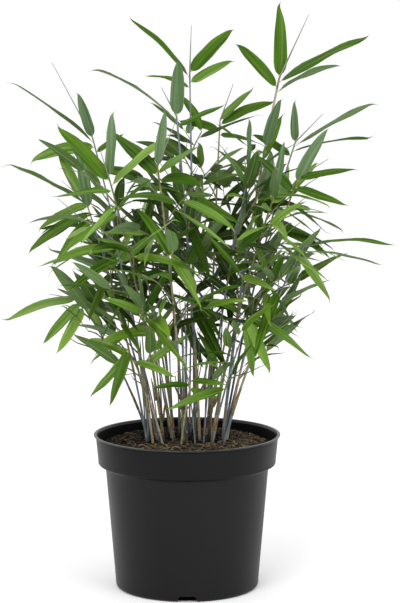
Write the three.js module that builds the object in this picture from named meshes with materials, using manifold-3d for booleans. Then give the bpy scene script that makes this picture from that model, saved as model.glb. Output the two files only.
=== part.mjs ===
// Potted bamboo: a clump of slim canes with sprays of narrow leaves, in a round plastic nursery pot.
// Millimetres, +Z up. The origin is the middle of the pot's flat underside.
import * as THREE from "three";
import { mergeVertices } from "three/addons/utils/BufferGeometryUtils.js";
import Module from "manifold-3d";

const wasm = await Module();
wasm.setup();

// ---- Driving dimensions ----

const RIM_RADIUS = 95;
const POT_HEIGHT = 157.4;
const WALL = 2;
const FOOT_RADIUS = 73.2;
const FOOT_ROUNDING = 4;
const SHOULDER_RADIUS = 83;
const SHOULDER_Z = 124.2;
const COLLAR_RADIUS = 90.5;
const COLLAR_Z = 127.8;
const COLLAR_TOP_RADIUS = 92.5;
const LIP_HEIGHT = 1.4;
const LIP_SLOPE = 1;
const LIP_BEVEL = 0.5;
const ROUND_SIDES = 48;
const NOTCHES = 4;
const NOTCH = { width: 21, topWidth: 15.5, height: 6, depth: 9, below: 1 };

const GAP = 0.3;
const GRIDS = { first: 0.002, step: 0.0007, count: 40 };
const SOIL_GAP = 0.4;
const SOIL_TOP = 150;
const SOIL_EDGE_Z = 145.2;
const SOIL_FLAT_RADIUS = 58;
const SOIL_MOUND = 1;

const GOLDEN_ANGLE = THREE.MathUtils.degToRad(137.508);
const SEED = { first: 13, step: 13, shoots: 1007 };
const SPRAYS = 26;
const SHOOTS = 6;
const CLUMP = { radius: 42, depth: 0.85, turn: 1.3, shootRadius: 30, shootTurn: 0.4 };
const TRIES = 3;
const CANE_TRIES = 24;

// Canes lean outwards more the further out they stand. Lean and opening angles are in degrees,
// and turns about the upright axis in radians.
const CANE = {
  sides: 6, steps: 4, footRadius: 1.05, radiusPerHeight: 0.002, taper: 0.45, clearance: 0.7,
  height: [180, 320], shorterOutside: 0.15, lean: [1, 6], leanOutside: 13, leanFrontAndBack: 7, sway: 0.35,
  outAtMiddle: 0.32, sprayStart: [0.28, 0.5],
};
const SHOOT = { steps: 5, height: [80, 190], lean: 3, tipRadius: 0.3, footTurn: 0.8, sway: 1 };
const STEM = { sides: 5, steps: 4, spearTip: 0.25 };

// The fan round a cane's tip: how much its leaves stray from their headings, and more with each new try.
const FAN = {
  step: 5, swing: 4, swingPerTry: 14, forward: 0.3, forwardPerTry: 0.35, forwardMiddle: 0.3,
  length: [0.98, 1.02], shorterPerTry: 0.08, roll: 0.35, faceOut: [1.1, 0.75], fullReach: true,
};

// The fan of a cane inside the clump. A leaf's side is the spear's side where it is 1.
const INNER_FAN = {
  planeSwing: 0.9,
  spear: { angle: [5, 35], length: [25, 55] },
  leaves: [
    { side: 1, angle: [-8, 20], length: [53, 68] },
    { side: 1, angle: [45, 75], length: [60, 80] },
    { side: -1, angle: [45, 80], length: [58, 78] },
    { side: 1, angle: [75, 110], length: [53, 71] },
  ],
};
const TWIG = {
  sides: 3, radii: [0.75, 0.65, 0.55, 0.22], step: 26, clearance: 0.35, first: 0.3,
  leader: { length: 62, reach: 0.68 }, inner: { length: 90, reach: 0.93 },
  shorterAtTop: 0.5, rank: 0.35, share: [0.6, 1.1], shorterPerTry: 0.15,
  footPull: 0.7, turn: [0.3, 2], turnPerTry: 0.5, open: [24, 46], lowFrom: 500, lowOver: 180,
  sag: 0.15, lowSag: 0.35, sagMiddle: 0.12, sagEnd: 0.5, spear: [8, 40], spearChance: 0.5, spearLift: 0.25,
  bareTip: 1.5, bareFoot: 7, leaves: 3, extraLeaf: 0.6, leafSize: 66, leafShare: [0.8, 1.15], leafStep: 8,
};

// Leaves on a twig stand in two ranks that open more the further back they are.
const RANK = {
  tilt: 1.1, upright: 0.6, uprightAngle: 6, uprightSwing: [8, 10], angle: 38, angleStep: 10, swing: [10, 8],
  rise: [-1.15, 0.25], risePerTry: 0.2, leastHang: 0.25, roll: 0.75, faceOut: [1.1, 0.35], fullReach: false,
};
const LEAF = {
  width: [0.14, 0.175], leastWidth: 1.5, droop: [0.15, 0.7], twist: 0.7, bend: 0.1, faceUp: 0.1,
  widestAt: 0.42, thickness: 0.011, sink: 3, lowest: 190, tones: 6,
  clearance: 0.35, clearAbove: 0.7, clearBelow: 1.4,
};

// How far from the axis the crown's twigs reach: [height, radius].
const CROWN = [[180, 62], [220, 100], [270, 134], [310, 140], [340, 190], [370, 226], [620, 226]];

// The canes that give the crown its outline: foot, tip, the angle to +X of the plane that the fan lies in,
// then the spear and the leaves as [degrees from straight up, length], and how far a leaf is turned edge-on.
const LEADERS = [
  [[36, -6], [93, 18, 517], 4, [25, 70], [[2, 79], [66, 106, -0.15], [-46, 60], [70, 74, -1]]],
  [[8, 15], [3, 30, 522], 6, [2, 48], [[51, 69], [-50, 90, 0.65], [69, 51], [-77, 49]]],
  [[13, -10], [-10, -38, 481], -6, [-28, 32], [[2, 58], [-58, 102, 0.75], [64, 52]]],
  [[-35, -8], [-95, 16, 457], 6, [-28, 86], [[-22, 50], [-56, 106, 1.2], [-98, 70], [55, 34]]],
  [[38, 12], [110, 28, 452], -8, [44, 40], [[-4, 44], [62, 99, -0.6], [79, 90, -0.8], [-60, 48]]],
  [[40, -8], [110, -30, 420], -14, [58, 36], [[84, 60], [30, 62], [112, 58], [-50, 56]]],
  [[-40, -18], [-99, -34, 394], 14, [-35, 40], [[-66, 94, 1.1], [-8, 68], [-124, 76], [-140, 62]]],
  [[-34, -28], [-69, -48, 352], 20, [-40, 30], [[-100, 70], [-52, 60], [-116, 66], [50, 50]]],
  [[-39, 8], [-109, -20, 298], 4, [-80, 30], [[-110, 80], [-138, 58], [-156, 54], [-70, 60]]],
  [[37, -24], [116, -36, 352], 2, [80, 30], [[88, 92, -1.1], [101, 82, -0.9], [148, 58], [60, 60]]],
  [[25, -34], [62, -62, 286], -20, [110, 24], [[128, 76], [154, 60], [166, 54], [80, 58]]],
  [[-6, -38], [4, -66, 222], 10, [60, 10], [[96, 36], [-96, 38], [112, 34]]],
  [[22, 24], [34, 52, 473], 24, [22, 40], [[46, 48], [67, 62], [-78, 44], [100, 52]]],
  [[-24, -33], [-58, -56, 252], 12, [-70, 12], [[-162, 60], [-140, 62], [-96, 58], [110, 44]]],
];

// ---- Materials ----

const plastic = new THREE.MeshStandardMaterial({ color: 0x17181a, roughness: 0.55, metalness: 0 });
const compost = new THREE.MeshStandardMaterial({ color: 0x2c2119, roughness: 1, metalness: 0 });
const caneSkin = new THREE.MeshStandardMaterial({ color: 0x8a8f88, roughness: 0.6, metalness: 0 });
const foliage = new THREE.MeshStandardMaterial({ color: 0x3f7a2a, roughness: 0.5, metalness: 0 });

// ---- Small helpers ----

const UP = new THREE.Vector3(0, 0, 1);
const vector = (x, y, z) => new THREE.Vector3(x, y, z);
const radians = THREE.MathUtils.degToRad;
const level = (angle) => vector(Math.cos(angle), Math.sin(angle), 0);
const clamp01 = (value) => THREE.MathUtils.clamp(value, 0, 1);
const along = (from, direction, distance) => from.clone().addScaledVector(direction, distance);
const crossed = (a, b) => new THREE.Vector3().crossVectors(a, b);
const squareTo = (v, axis) => v.clone().addScaledVector(axis, -v.dot(axis)).normalize();

// A heading in the upright plane that stands at `plane` to +X, `angle` away from straight up.
function heading(angle, plane) {
  return UP.clone().multiplyScalar(Math.cos(angle)).addScaledVector(level(plane), Math.sin(angle));
}

class Dice {
  constructor(seed) {
    this.state = 1 + ((seed * 104729) % 2147483646);
    for (let i = 0; i < 3; i += 1) this.roll();
  }
  roll() {
    this.state = (this.state * 16807) % 2147483647;
    return this.state / 2147483647;
  }
  between(low, high) {
    return low + (high - low) * this.roll();
  }
  swing(size) {
    return this.between(-size, size);
  }
}

// A closed three.js geometry as a solid for joining and cutting, and back again.
function solidOf(geometry) {
  const plain = geometry.clone();
  plain.deleteAttribute("normal");
  plain.deleteAttribute("uv");
  const merged = mergeVertices(plain, 1e-4);
  const vertProperties = new Float32Array(merged.attributes.position.array);
  const triVerts = new Uint32Array(merged.index.array);
  return new wasm.Manifold(new wasm.Mesh({ numProp: 3, vertProperties, triVerts }));
}

function geometryOf(solid) {
  const { vertProperties, triVerts } = solid.getMesh();
  const geometry = new THREE.BufferGeometry();
  geometry.setAttribute("position", new THREE.BufferAttribute(new Float32Array(vertProperties), 3));
  geometry.setIndex(new THREE.BufferAttribute(new Uint32Array(triVerts), 1));
  geometry.computeVertexNormals();
  return geometry;
}

const cornerName = (places, i) => places.slice(3 * i, 3 * i + 3).join();

// Joined solids meet in some corners a few microns apart. Each corner goes to a fine grid,
// corners that share a place become one, and the faces that this closes are dropped.
function snapped(solid, grid) {
  const { vertProperties, triVerts } = solid.getMesh();
  const places = Float32Array.from(vertProperties, (value) => Math.round(value / grid) * grid);
  const names = new Map();
  const merged = Array.from({ length: places.length / 3 }, (_, i) => {
    const name = cornerName(places, i);
    if (!names.has(name)) names.set(name, names.size);
    return names.get(name);
  });
  const corners = new Float32Array([...names.keys()].flatMap((name) => name.split(",").map(Number)));
  const faces = [];
  for (let i = 0; i < triVerts.length; i += 3) {
    const [a, b, c] = [0, 1, 2].map((j) => merged[triVerts[i + j]]);
    if (a !== b && b !== c && c !== a) faces.push(a, b, c);
  }
  const mesh = new wasm.Mesh({ numProp: 3, vertProperties: corners, triVerts: new Uint32Array(faces) });
  return new wasm.Manifold(mesh);
}

// A surface is sound where each edge, told by the places of its ends, joins just two faces.
function isSound(solid) {
  const { vertProperties, triVerts } = solid.getMesh();
  const uses = new Map();
  triVerts.forEach((corner, i) => {
    const next = triVerts[i % 3 === 2 ? i - 2 : i + 1];
    const ends = [cornerName(vertProperties, corner), cornerName(vertProperties, next)];
    const edge = ends.sort().join(" ");
    uses.set(edge, (uses.get(edge) ?? 0) + 1);
  });
  return [...uses.values()].every((count) => count === 2);
}

// The solid on the finest grid that leaves its surface sound.
function cleaned(solid) {
  for (let i = 0; i < GRIDS.count; i += 1) {
    const clean = snapped(solid, GRIDS.first + GRIDS.step * i);
    if (isSound(clean)) return clean;
  }
  return solid;
}

const group = new THREE.Group();

function addPiece(name, geometry, material) {
  const mesh = new THREE.Mesh(geometry, material);
  mesh.name = name;
  group.add(mesh);
}

// ---- Pot and soil ----

function lathe(profile) {
  const points = profile.map(([radius, z]) => new THREE.Vector2(radius, z));
  return new THREE.LatheGeometry(points, ROUND_SIDES).rotateX(Math.PI / 2);
}

function footArc() {
  return [-90, -45, 0].map((degrees) => [
    FOOT_RADIUS - FOOT_ROUNDING + FOOT_ROUNDING * Math.cos(radians(degrees)),
    FOOT_ROUNDING + FOOT_ROUNDING * Math.sin(radians(degrees)),
  ]);
}

// The pot's inner face from the floor's edge up to the soil, each corner as [radius, z].
const innerCorners = [
  [FOOT_RADIUS - FOOT_ROUNDING - WALL / 2, WALL],
  [FOOT_RADIUS - WALL, FOOT_ROUNDING + WALL / 2],
  [SHOULDER_RADIUS - WALL, SHOULDER_Z + WALL],
  [COLLAR_RADIUS - WALL, COLLAR_Z + WALL],
];

// A drain notch is a block that narrows upwards, set through the foot of the wall on the +X side.
function notchGeometry() {
  const half = NOTCH.width / 2;
  const halfTop = NOTCH.topWidth / 2;
  const outline = new THREE.Shape([
    new THREE.Vector2(-half, -NOTCH.below),
    new THREE.Vector2(half, -NOTCH.below),
    new THREE.Vector2(halfTop, NOTCH.height),
    new THREE.Vector2(-halfTop, NOTCH.height),
  ]);
  const block = new THREE.ExtrudeGeometry(outline, { depth: NOTCH.depth, bevelEnabled: false });
  return block.rotateX(Math.PI / 2).rotateZ(Math.PI / 2).translate(FOOT_RADIUS - NOTCH.depth / 2, 0, 0);
}

function makePot() {
  const lipZ = POT_HEIGHT - LIP_HEIGHT;
  const shell = solidOf(lathe([
    [0, 0],
    ...footArc(),
    [SHOULDER_RADIUS, SHOULDER_Z],
    [COLLAR_RADIUS, COLLAR_Z],
    [COLLAR_TOP_RADIUS, lipZ - LIP_SLOPE],
    [RIM_RADIUS, lipZ],
    [RIM_RADIUS, POT_HEIGHT],
    [COLLAR_TOP_RADIUS - WALL + LIP_BEVEL, POT_HEIGHT],
    [COLLAR_TOP_RADIUS - WALL, lipZ],
    ...innerCorners.toReversed(),
    [0, WALL],
  ]));
  let pot = shell;
  for (let i = 0; i < NOTCHES; i += 1) {
    const notch = notchGeometry().rotateZ((i * 2 * Math.PI) / NOTCHES);
    pot = pot.subtract(solidOf(notch));
  }
  addPiece("pot", geometryOf(pot), plastic);
}

function makeSoil() {
  const edge = innerCorners.map(([radius, z]) => [radius - SOIL_GAP, z + SOIL_GAP]);
  const [, , , collar] = innerCorners;
  const slope = (COLLAR_TOP_RADIUS - COLLAR_RADIUS) / (POT_HEIGHT - COLLAR_Z);
  const edgeRadius = collar[0] - SOIL_GAP + slope * (SOIL_EDGE_Z - collar[1]);
  addPiece("soil", lathe([
    [0, WALL + SOIL_GAP],
    ...edge,
    [edgeRadius, SOIL_EDGE_Z],
    [(edgeRadius + SOIL_FLAT_RADIUS) / 2, (SOIL_TOP + SOIL_EDGE_Z) / 2 + SOIL_MOUND],
    [SOIL_FLAT_RADIUS, SOIL_TOP],
    [0, SOIL_TOP],
  ]), compost);
}

// ---- Limbs and leaves as solids ----

// No limb runs along this direction, so a rod's rings can be turned from it.
const RING_START = vector(0.31, 0.95, 0.02);

// A tapering rod: a CylinderGeometry whose rings are set square to the path. A level foot is cut flat.
function rodGeometry(points, radii, sides, swell = 0, levelFoot = false) {
  const steps = points.length - 1;
  const rod = new THREE.CylinderGeometry(1, 1, 1, sides, steps);
  const position = rod.attributes.position;
  const rings = points.map((point, i) => {
    const ahead = points[Math.min(steps, i + 1)];
    const behind = points[Math.max(0, i - 1)];
    const direction = ahead.clone().sub(behind).normalize();
    const side = crossed(RING_START, direction).normalize();
    return { point, direction, side, other: crossed(direction, side), radius: radii[i] + swell };
  });
  for (let v = 0; v < position.count; v += 1) {
    const ring = rings[Math.round((position.getY(v) + 0.5) * steps)];
    const corner = along(ring.point, ring.side, position.getX(v) * ring.radius);
    corner.addScaledVector(ring.other, -position.getZ(v) * ring.radius);
    if (levelFoot && ring === rings[0]) {
      corner.addScaledVector(ring.direction, (ring.point.z - corner.z) / ring.direction.z);
    }
    position.setXYZ(v, corner.x, corner.y, corner.z);
  }
  return rod;
}

// A leaf leaves its root steeper than its chord, arches over and twists towards its tip.
function leafPlan({ root, sunk }, chord, face, pose, size, dice, roll = 0) {
  const width = size * dice.between(...LEAF.width) + LEAF.leastWidth;
  const flatness = Math.hypot(chord.x, chord.y);
  const sag = dice.between(...LEAF.droop) * flatness;
  const ahead = along(chord, UP, sag / 2);
  const stretch = pose.fullReach ? ahead.length() : 1;
  const length = size * stretch;
  const droop = sag / stretch;
  ahead.normalize();
  const upper = UP.clone().multiplyScalar(flatness + LEAF.faceUp);
  upper.addScaledVector(face, THREE.MathUtils.lerp(...pose.faceOut, flatness));
  const normal = squareTo(upper, ahead).applyAxisAngle(ahead, roll + dice.swing(pose.roll));
  const twist = dice.swing(LEAF.twist);
  const bend = dice.swing(LEAF.bend);
  const tone = Math.floor(dice.roll() * LEAF.tones);
  return { root, sunk, ahead, normal, side: crossed(ahead, normal), length, width, droop, twist, bend, tone };
}

function leafPoint(leaf, share) {
  const point = along(leaf.root, leaf.ahead, leaf.length * share);
  point.addScaledVector(leaf.side, leaf.length * leaf.bend * share * share);
  return point.addScaledVector(UP, (-leaf.length * leaf.droop * share * share) / 2);
}

function leafFrame(leaf, share) {
  const ahead = along(leaf.ahead, leaf.side, 2 * leaf.bend * share);
  ahead.addScaledVector(UP, -leaf.droop * share).normalize();
  const normal = squareTo(leaf.normal, ahead).applyAxisAngle(ahead, leaf.twist * share);
  return { normal, side: crossed(ahead, normal) };
}

// The leaf's solid runs from a point sunk in its twig, over three corners where it is widest, to its tip.
const LEAF_FACES = [0, 2, 1, 0, 3, 2, 0, 1, 3, 4, 1, 2, 4, 2, 3, 4, 3, 1];

function leafSolid(leaf, swell = 0) {
  const middle = leafPoint(leaf, LEAF.widestAt);
  const { normal, side } = leafFrame(leaf, LEAF.widestAt);
  const half = leaf.width / 2 + swell;
  const top = along(middle, normal, LEAF.clearAbove * swell);
  const keel = along(middle, normal, -LEAF.thickness * leaf.length - LEAF.clearBelow * swell);
  const corners = [leaf.sunk, along(top, side, -half), along(top, side, half), keel];
  corners.push(leafPoint(leaf, 1 + swell / leaf.length));
  const geometry = new THREE.BufferGeometry().setFromPoints(corners);
  geometry.setIndex(LEAF_FACES);
  return solidOf(geometry);
}

// ---- Room: what is already in place, so that nothing crosses anything else ----

const placed = [];

function boxOf(solid) {
  const { min, max } = solid.boundingBox();
  return new THREE.Box3(vector(...min), vector(...max));
}

function place(solid, owner) {
  placed.push({ solid, owner, box: boxOf(solid) });
}

function isFree(solid, ...parents) {
  const box = boxOf(solid);
  return placed.every((other) => parents.includes(other.owner) || !box.intersectsBox(other.box)
    || solid.intersect(other.solid).isEmpty());
}

function crownRadius(z) {
  for (let i = 1; i < CROWN.length; i += 1) {
    const [lowZ, lowRadius] = CROWN[i - 1];
    const [highZ, highRadius] = CROWN[i];
    if (z <= highZ) return lowRadius + ((highRadius - lowRadius) * Math.max(0, z - lowZ)) / (highZ - lowZ);
  }
  return CROWN.at(-1)[1];
}

function inCrown(point) {
  return point.z > LEAF.lowest && Math.hypot(point.x, point.y) < crownRadius(point.z);
}

// ---- Growth: canes, stems, twigs and leaves from a seeded rule ----

function caneCurve(foot, tip) {
  const middle = foot.clone().lerp(tip, CANE.outAtMiddle);
  middle.z = (foot.z + tip.z) / 2;
  return new THREE.QuadraticBezierCurve3(foot, middle, tip);
}

// Points on a curve from one share of it to another. A share is the curve's own parameter.
function stretch(curve, from, to, steps) {
  return Array.from({ length: steps + 1 }, (_, i) => curve.getPoint(from + ((to - from) * i) / steps));
}

function caneRadii(curve, from, to, steps) {
  const foot = CANE.footRadius + CANE.radiusPerHeight * (curve.v2.z - curve.v0.z);
  return Array.from({ length: steps + 1 }, (_, i) => {
    const share = from + ((to - from) * i) / steps;
    return foot * (1 - CANE.taper * share);
  });
}

function walkBack(points, distance) {
  let end = points.length - 1;
  let left = distance;
  while (end > 1 && left > points[end].distanceTo(points[end - 1])) {
    left -= points[end].distanceTo(points[end - 1]);
    end -= 1;
  }
  return points[end].clone().lerp(points[end - 1], left / points[end].distanceTo(points[end - 1]));
}

// A leaf's root on a rod's middle line, and the point further back where its solid begins.
function rootOn(points, distance) {
  return { root: walkBack(points, distance), sunk: walkBack(points, distance + LEAF.sink) };
}

function leaderCane([foot, tip, plane, spear, leaves], dice) {
  return {
    curve: caneCurve(vector(...foot, SOIL_TOP + GAP), vector(...tip)),
    face: vector(0, -1, 0),
    plane: radians(plane),
    spear,
    leaves,
    twigs: TWIG.leader,
    start: dice.between(...CANE.sprayStart),
  };
}

function footOnSpiral(k, count, radius, turn) {
  const share = Math.sqrt((k + 0.5) / count);
  const angle = k * GOLDEN_ANGLE + turn;
  const across = level(angle).multiplyScalar(radius * share);
  return { share, angle, foot: vector(across.x, across.y * CLUMP.depth, SOIL_TOP + GAP) };
}

// A cane of the clump's inside: its foot is on a spiral, and it leans outwards.
function innerCane(k, count, dice) {
  const { share, angle, foot } = footOnSpiral(k, count, CLUMP.radius, CLUMP.turn);
  const height = dice.between(...CANE.height) * (1 - CANE.shorterOutside * share);
  const spread = CANE.leanOutside + CANE.leanFrontAndBack * Math.abs(Math.sin(angle));
  const lean = radians(dice.between(...CANE.lean) + spread * share);
  const out = angle + dice.swing(CANE.sway);
  const tip = along(foot, level(out), height * Math.tan(lean)).addScaledVector(UP, height);
  const plane = out + Math.PI / 2 + dice.swing(INNER_FAN.planeSwing);
  const side = k % 2 ? -1 : 1;
  const drawn = (part, partSide) => [partSide * dice.between(...part.angle), dice.between(...part.length)];
  return {
    curve: caneCurve(foot, tip),
    face: level(out),
    plane,
    spear: drawn(INNER_FAN.spear, side),
    leaves: INNER_FAN.leaves.map((leaf) => drawn(leaf, side * leaf.side)),
    twigs: TWIG.inner,
    start: dice.between(...CANE.sprayStart),
  };
}

// The cane ends where its spray begins; the spray's stem goes on from there to the spear.
function limbsOf(cane, swell = 0) {
  const { curve, start, spear, plane } = cane;
  const stemStart = start + GAP / (curve.v2.z - curve.v0.z);
  const lowerPoints = stretch(curve, 0, start, CANE.steps);
  const lower = rodGeometry(lowerPoints, caneRadii(curve, 0, start, CANE.steps), CANE.sides, swell, true);
  const stemPoints = stretch(curve, stemStart, 1, STEM.steps);
  const spearTip = along(curve.v2, heading(radians(spear[0]), plane), spear[1]);
  const stemRadii = [...caneRadii(curve, stemStart, 1, STEM.steps), STEM.spearTip];
  const upper = rodGeometry([...stemPoints, spearTip], stemRadii, STEM.sides, swell);
  return { stemPoints, lower: solidOf(lower), upper: solidOf(upper) };
}

function firstFree(makeOne, isGood) {
  let found = null;
  for (let attempt = 0; attempt < CANE_TRIES; attempt += 1) {
    const candidate = makeOne();
    if (!found && isGood(candidate)) found = candidate;
  }
  return found;
}

function standsFree(cane) {
  const { lower, upper } = limbsOf(cane, CANE.clearance);
  return isFree(lower) && isFree(upper);
}

function plantCane(i) {
  const dice = new Dice(SEED.first + SEED.step * i);
  const inner = i - LEADERS.length;
  const cane = inner < 0
    ? leaderCane(LEADERS[i], dice)
    : firstFree(() => innerCane(inner, SPRAYS - LEADERS.length, dice), standsFree);
  const limbs = limbsOf(cane);
  place(limbs.lower, `cane ${i}`);
  place(limbs.upper, `stem ${i}`);
  return { ...cane, ...limbs, dice };
}

function plantShoot(i) {
  const dice = new Dice(SEED.shoots + SEED.step * i);
  const shoot = firstFree(() => {
    const turn = CLUMP.shootTurn + dice.swing(SHOOT.footTurn);
    const { foot, angle } = footOnSpiral(i, SHOOTS, CLUMP.shootRadius, turn);
    const height = dice.between(...SHOOT.height);
    const tip = along(foot, level(angle + dice.swing(SHOOT.sway)), height * Math.tan(radians(SHOOT.lean)));
    return caneCurve(foot, tip.addScaledVector(UP, height));
  }, (curve) => isFree(shootSolid(curve, CANE.clearance)));
  const solid = shootSolid(shoot);
  place(solid, `shoot ${i}`);
  return solid;
}

function shootSolid(curve, swell = 0) {
  const radii = caneRadii(curve, 0, 1, SHOOT.steps);
  radii[SHOOT.steps] = SHOOT.tipRadius;
  return solidOf(rodGeometry(stretch(curve, 0, 1, SHOOT.steps), radii, CANE.sides, swell, true));
}

// The leaves round a cane's tip, each with a few variants of which the first free one grows.
function fanPlans(cane) {
  const { dice, face, plane, stemPoints } = cane;
  return cane.leaves.map(([degrees, length, roll], k) => {
    const root = rootOn(stemPoints, FAN.step * k);
    return Array.from({ length: TRIES }, (_, attempt) => {
      const angle = degrees + dice.swing(FAN.swing + FAN.swingPerTry * attempt);
      const strayed = FAN.forwardPerTry * attempt;
      const forward = dice.swing(FAN.forward) + strayed * (dice.roll() - FAN.forwardMiddle);
      const chord = heading(radians(angle), plane).addScaledVector(face, forward).normalize();
      const shortest = FAN.length[0] - FAN.shorterPerTry * attempt;
      return leafPlan(root, chord, face, FAN, length * dice.between(shortest, FAN.length[1]), dice, roll);
    });
  });
}

// Leaves in two ranks, from the twig's tip backwards. Those low on the plant hang more.
function rankPlans(points, face, twig, dice) {
  const end = points.at(-1);
  const direction = end.clone().sub(points.at(-2)).normalize();
  const across = crossed(direction, UP).normalize().applyAxisAngle(direction, dice.swing(RANK.tilt));
  const length = points[0].distanceTo(points[1]) + points[1].distanceTo(points[2]);
  const fitting = 1 + Math.floor((length - TWIG.bareFoot) / TWIG.leafStep);
  return Array.from({ length: Math.min(twig.count, fitting) }, (_, k) => {
    const root = rootOn(points, TWIG.leafStep * k);
    const side = k % 2 ? -twig.side : twig.side;
    return Array.from({ length: TRIES }, (__, attempt) => {
      const upright = k === 0 && twig.upright;
      const [swing, swingPerTry] = upright ? RANK.uprightSwing : RANK.swing;
      const middle = upright ? RANK.uprightAngle : RANK.angle + RANK.angleStep * k;
      const opening = radians(middle + dice.swing(swing + swingPerTry * attempt));
      const rise = dice.between(RANK.rise[0], RANK.rise[1] + RANK.risePerTry * attempt);
      const chord = direction.clone().multiplyScalar(Math.cos(opening));
      chord.addScaledVector(across, side * Math.sin(opening));
      chord.addScaledVector(UP, rise * THREE.MathUtils.lerp(RANK.leastHang, 1, twig.low));
      const size = TWIG.leafSize * dice.between(...TWIG.leafShare);
      return leafPlan(root, chord.normalize(), face, RANK, size, dice);
    });
  });
}

// One side twig: it leaves the stem at `share` of the cane, rises outwards and sags at its end.
function twigPlan(cane, share, rank, twig, attempt) {
  const { curve, dice } = cane;
  const base = curve.getPoint(share);
  const outwards = along(curve.v2, curve.v0, -TWIG.footPull);
  const out = Math.atan2(outwards.y, outwards.x);
  const turn = out + twig.side * dice.between(TWIG.turn[0], TWIG.turn[1] + TWIG.turnPerTry * attempt);
  const opening = radians(dice.between(...TWIG.open));
  const direction = curve.getTangent(share).multiplyScalar(Math.cos(opening));
  direction.addScaledVector(level(turn), Math.sin(opening)).normalize();
  const shorter = (1 - TWIG.shorterAtTop * rank) * (1 - TWIG.shorterPerTry * attempt);
  const length = dice.between(...TWIG.share) * cane.twigs.length * shorter;
  const sag = (TWIG.sag + TWIG.lowSag * twig.low) * length;
  const middle = along(base, direction, length / 2).addScaledVector(UP, -TWIG.sagMiddle * sag);
  const end = along(base, direction, length).addScaledVector(UP, -TWIG.sagEnd * sag);
  const ahead = end.clone().sub(middle).normalize();
  const spearLength = dice.between(...TWIG.spear);
  const tipLength = dice.roll() < TWIG.spearChance ? spearLength : TWIG.bareTip;
  const spear = along(end, along(ahead, UP, TWIG.spearLift).normalize(), tipLength);
  const points = [base, middle, end];
  return { points, end, leaves: rankPlans(points, level(turn), twig, dice), rod: [...points, spear] };
}

function twigSolid(twig, swell = 0) {
  return solidOf(rodGeometry(twig.rod, TWIG.radii, TWIG.sides, swell));
}

// The first free variant of each leaf, where one is free.
function growLeaves(sets, i, fits = () => true) {
  const solids = [];
  for (const { owner, variants } of sets) {
    const leaf = variants.find((variant) => fits(leafPoint(variant, 1))
      && isFree(leafSolid(variant, LEAF.clearance), owner, `stem ${i}`));
    if (leaf) {
      const solid = leafSolid(leaf);
      place(solid, `leaf ${i}`);
      solids.push(solid);
    }
  }
  return solids;
}

function growFan(cane, i) {
  return growLeaves(fanPlans(cane).map((variants) => ({ owner: `stem ${i}`, variants })), i);
}

// A spray's stem, fan, twigs and the twigs' leaves, fused. Each twig and leaf grows only where it is free.
function growSpray(cane, fan, i) {
  const { curve, dice, start, twigs } = cane;
  const parts = [cane.upper, ...fan];
  const sets = [];
  const height = curve.v2.z - curve.v0.z;
  const count = Math.floor((height * (1 - start)) / TWIG.step);
  for (let k = 0; k < count; k += 1) {
    const share = start + ((1 - start) * twigs.reach * (k + TWIG.first)) / count;
    const low = clamp01((TWIG.lowFrom - curve.getPoint(share).z) / TWIG.lowOver);
    const upright = dice.roll() < RANK.upright;
    const leaves = TWIG.leaves + (dice.roll() < TWIG.extraLeaf ? 1 : 0);
    const facts = { side: (k + i) % 2 ? 1 : -1, upright, count: leaves, low };
    let grown = null;
    for (let attempt = 0; attempt < TRIES; attempt += 1) {
      const twig = twigPlan(cane, share, (k + TWIG.rank) / count, facts, attempt);
      if (!grown && inCrown(twig.end) && isFree(twigSolid(twig, TWIG.clearance), `stem ${i}`)) grown = twig;
    }
    if (grown) {
      const owner = `twig ${i} ${k}`;
      const solid = twigSolid(grown);
      place(solid, owner);
      parts.push(solid);
      sets.push(...grown.leaves.map((variants) => ({ owner, variants })));
    }
  }
  parts.push(...growLeaves(sets, i, inCrown));
  return cleaned(parts.reduce((whole, part) => whole.add(part)).simplify(GRIDS.first));
}

// ---- Assembly ----

const numbered = (name, i) => `${name}_${String(i + 1).padStart(2, "0")}`;

makePot();
makeSoil();
const canes = Array.from({ length: SPRAYS }, (_, i) => plantCane(i));
const shoots = Array.from({ length: SHOOTS }, (_, i) => plantShoot(i));
canes.forEach((cane, i) => addPiece(numbered("cane", i), geometryOf(cane.lower), caneSkin));
shoots.forEach((shoot, i) => addPiece(numbered("shoot", i), geometryOf(shoot), caneSkin));
const fans = canes.map((cane, i) => growFan(cane, i));
const sprays = canes.map((cane, i) => growSpray(cane, fans[i], i));
sprays.forEach((spray, i) => addPiece(numbered("spray", i), geometryOf(spray), foliage));

export default group;
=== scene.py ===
from math import atan2, cos, exp, hypot, inf, pi, radians, sin, sqrt, tan
from math import floor as rounded_down
from types import SimpleNamespace as Sizes

import bpy
from mathutils import Matrix, Vector, noise
from mathutils.bvhtree import BVHTree


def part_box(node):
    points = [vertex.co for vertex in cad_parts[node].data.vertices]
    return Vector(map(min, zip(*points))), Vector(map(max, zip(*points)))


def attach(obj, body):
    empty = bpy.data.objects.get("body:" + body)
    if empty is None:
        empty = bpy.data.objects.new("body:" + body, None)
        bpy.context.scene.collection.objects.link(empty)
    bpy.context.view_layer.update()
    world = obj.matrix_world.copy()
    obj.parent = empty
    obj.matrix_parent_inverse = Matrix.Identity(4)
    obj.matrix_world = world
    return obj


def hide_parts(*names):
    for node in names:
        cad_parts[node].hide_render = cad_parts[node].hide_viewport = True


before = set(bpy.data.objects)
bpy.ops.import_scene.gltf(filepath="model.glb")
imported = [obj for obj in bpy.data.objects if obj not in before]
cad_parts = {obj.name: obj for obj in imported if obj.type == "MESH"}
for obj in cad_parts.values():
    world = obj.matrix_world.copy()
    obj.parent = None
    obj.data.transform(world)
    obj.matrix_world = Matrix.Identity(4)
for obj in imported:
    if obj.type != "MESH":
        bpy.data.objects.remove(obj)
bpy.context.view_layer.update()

# The looks of a potted bamboo. Lengths are in millimetres until a mesh is made, in metres.
MM = 0.001
UP = Vector((0, 0, 1))

# ---- The growth rule, as in the part's source ----

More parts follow.
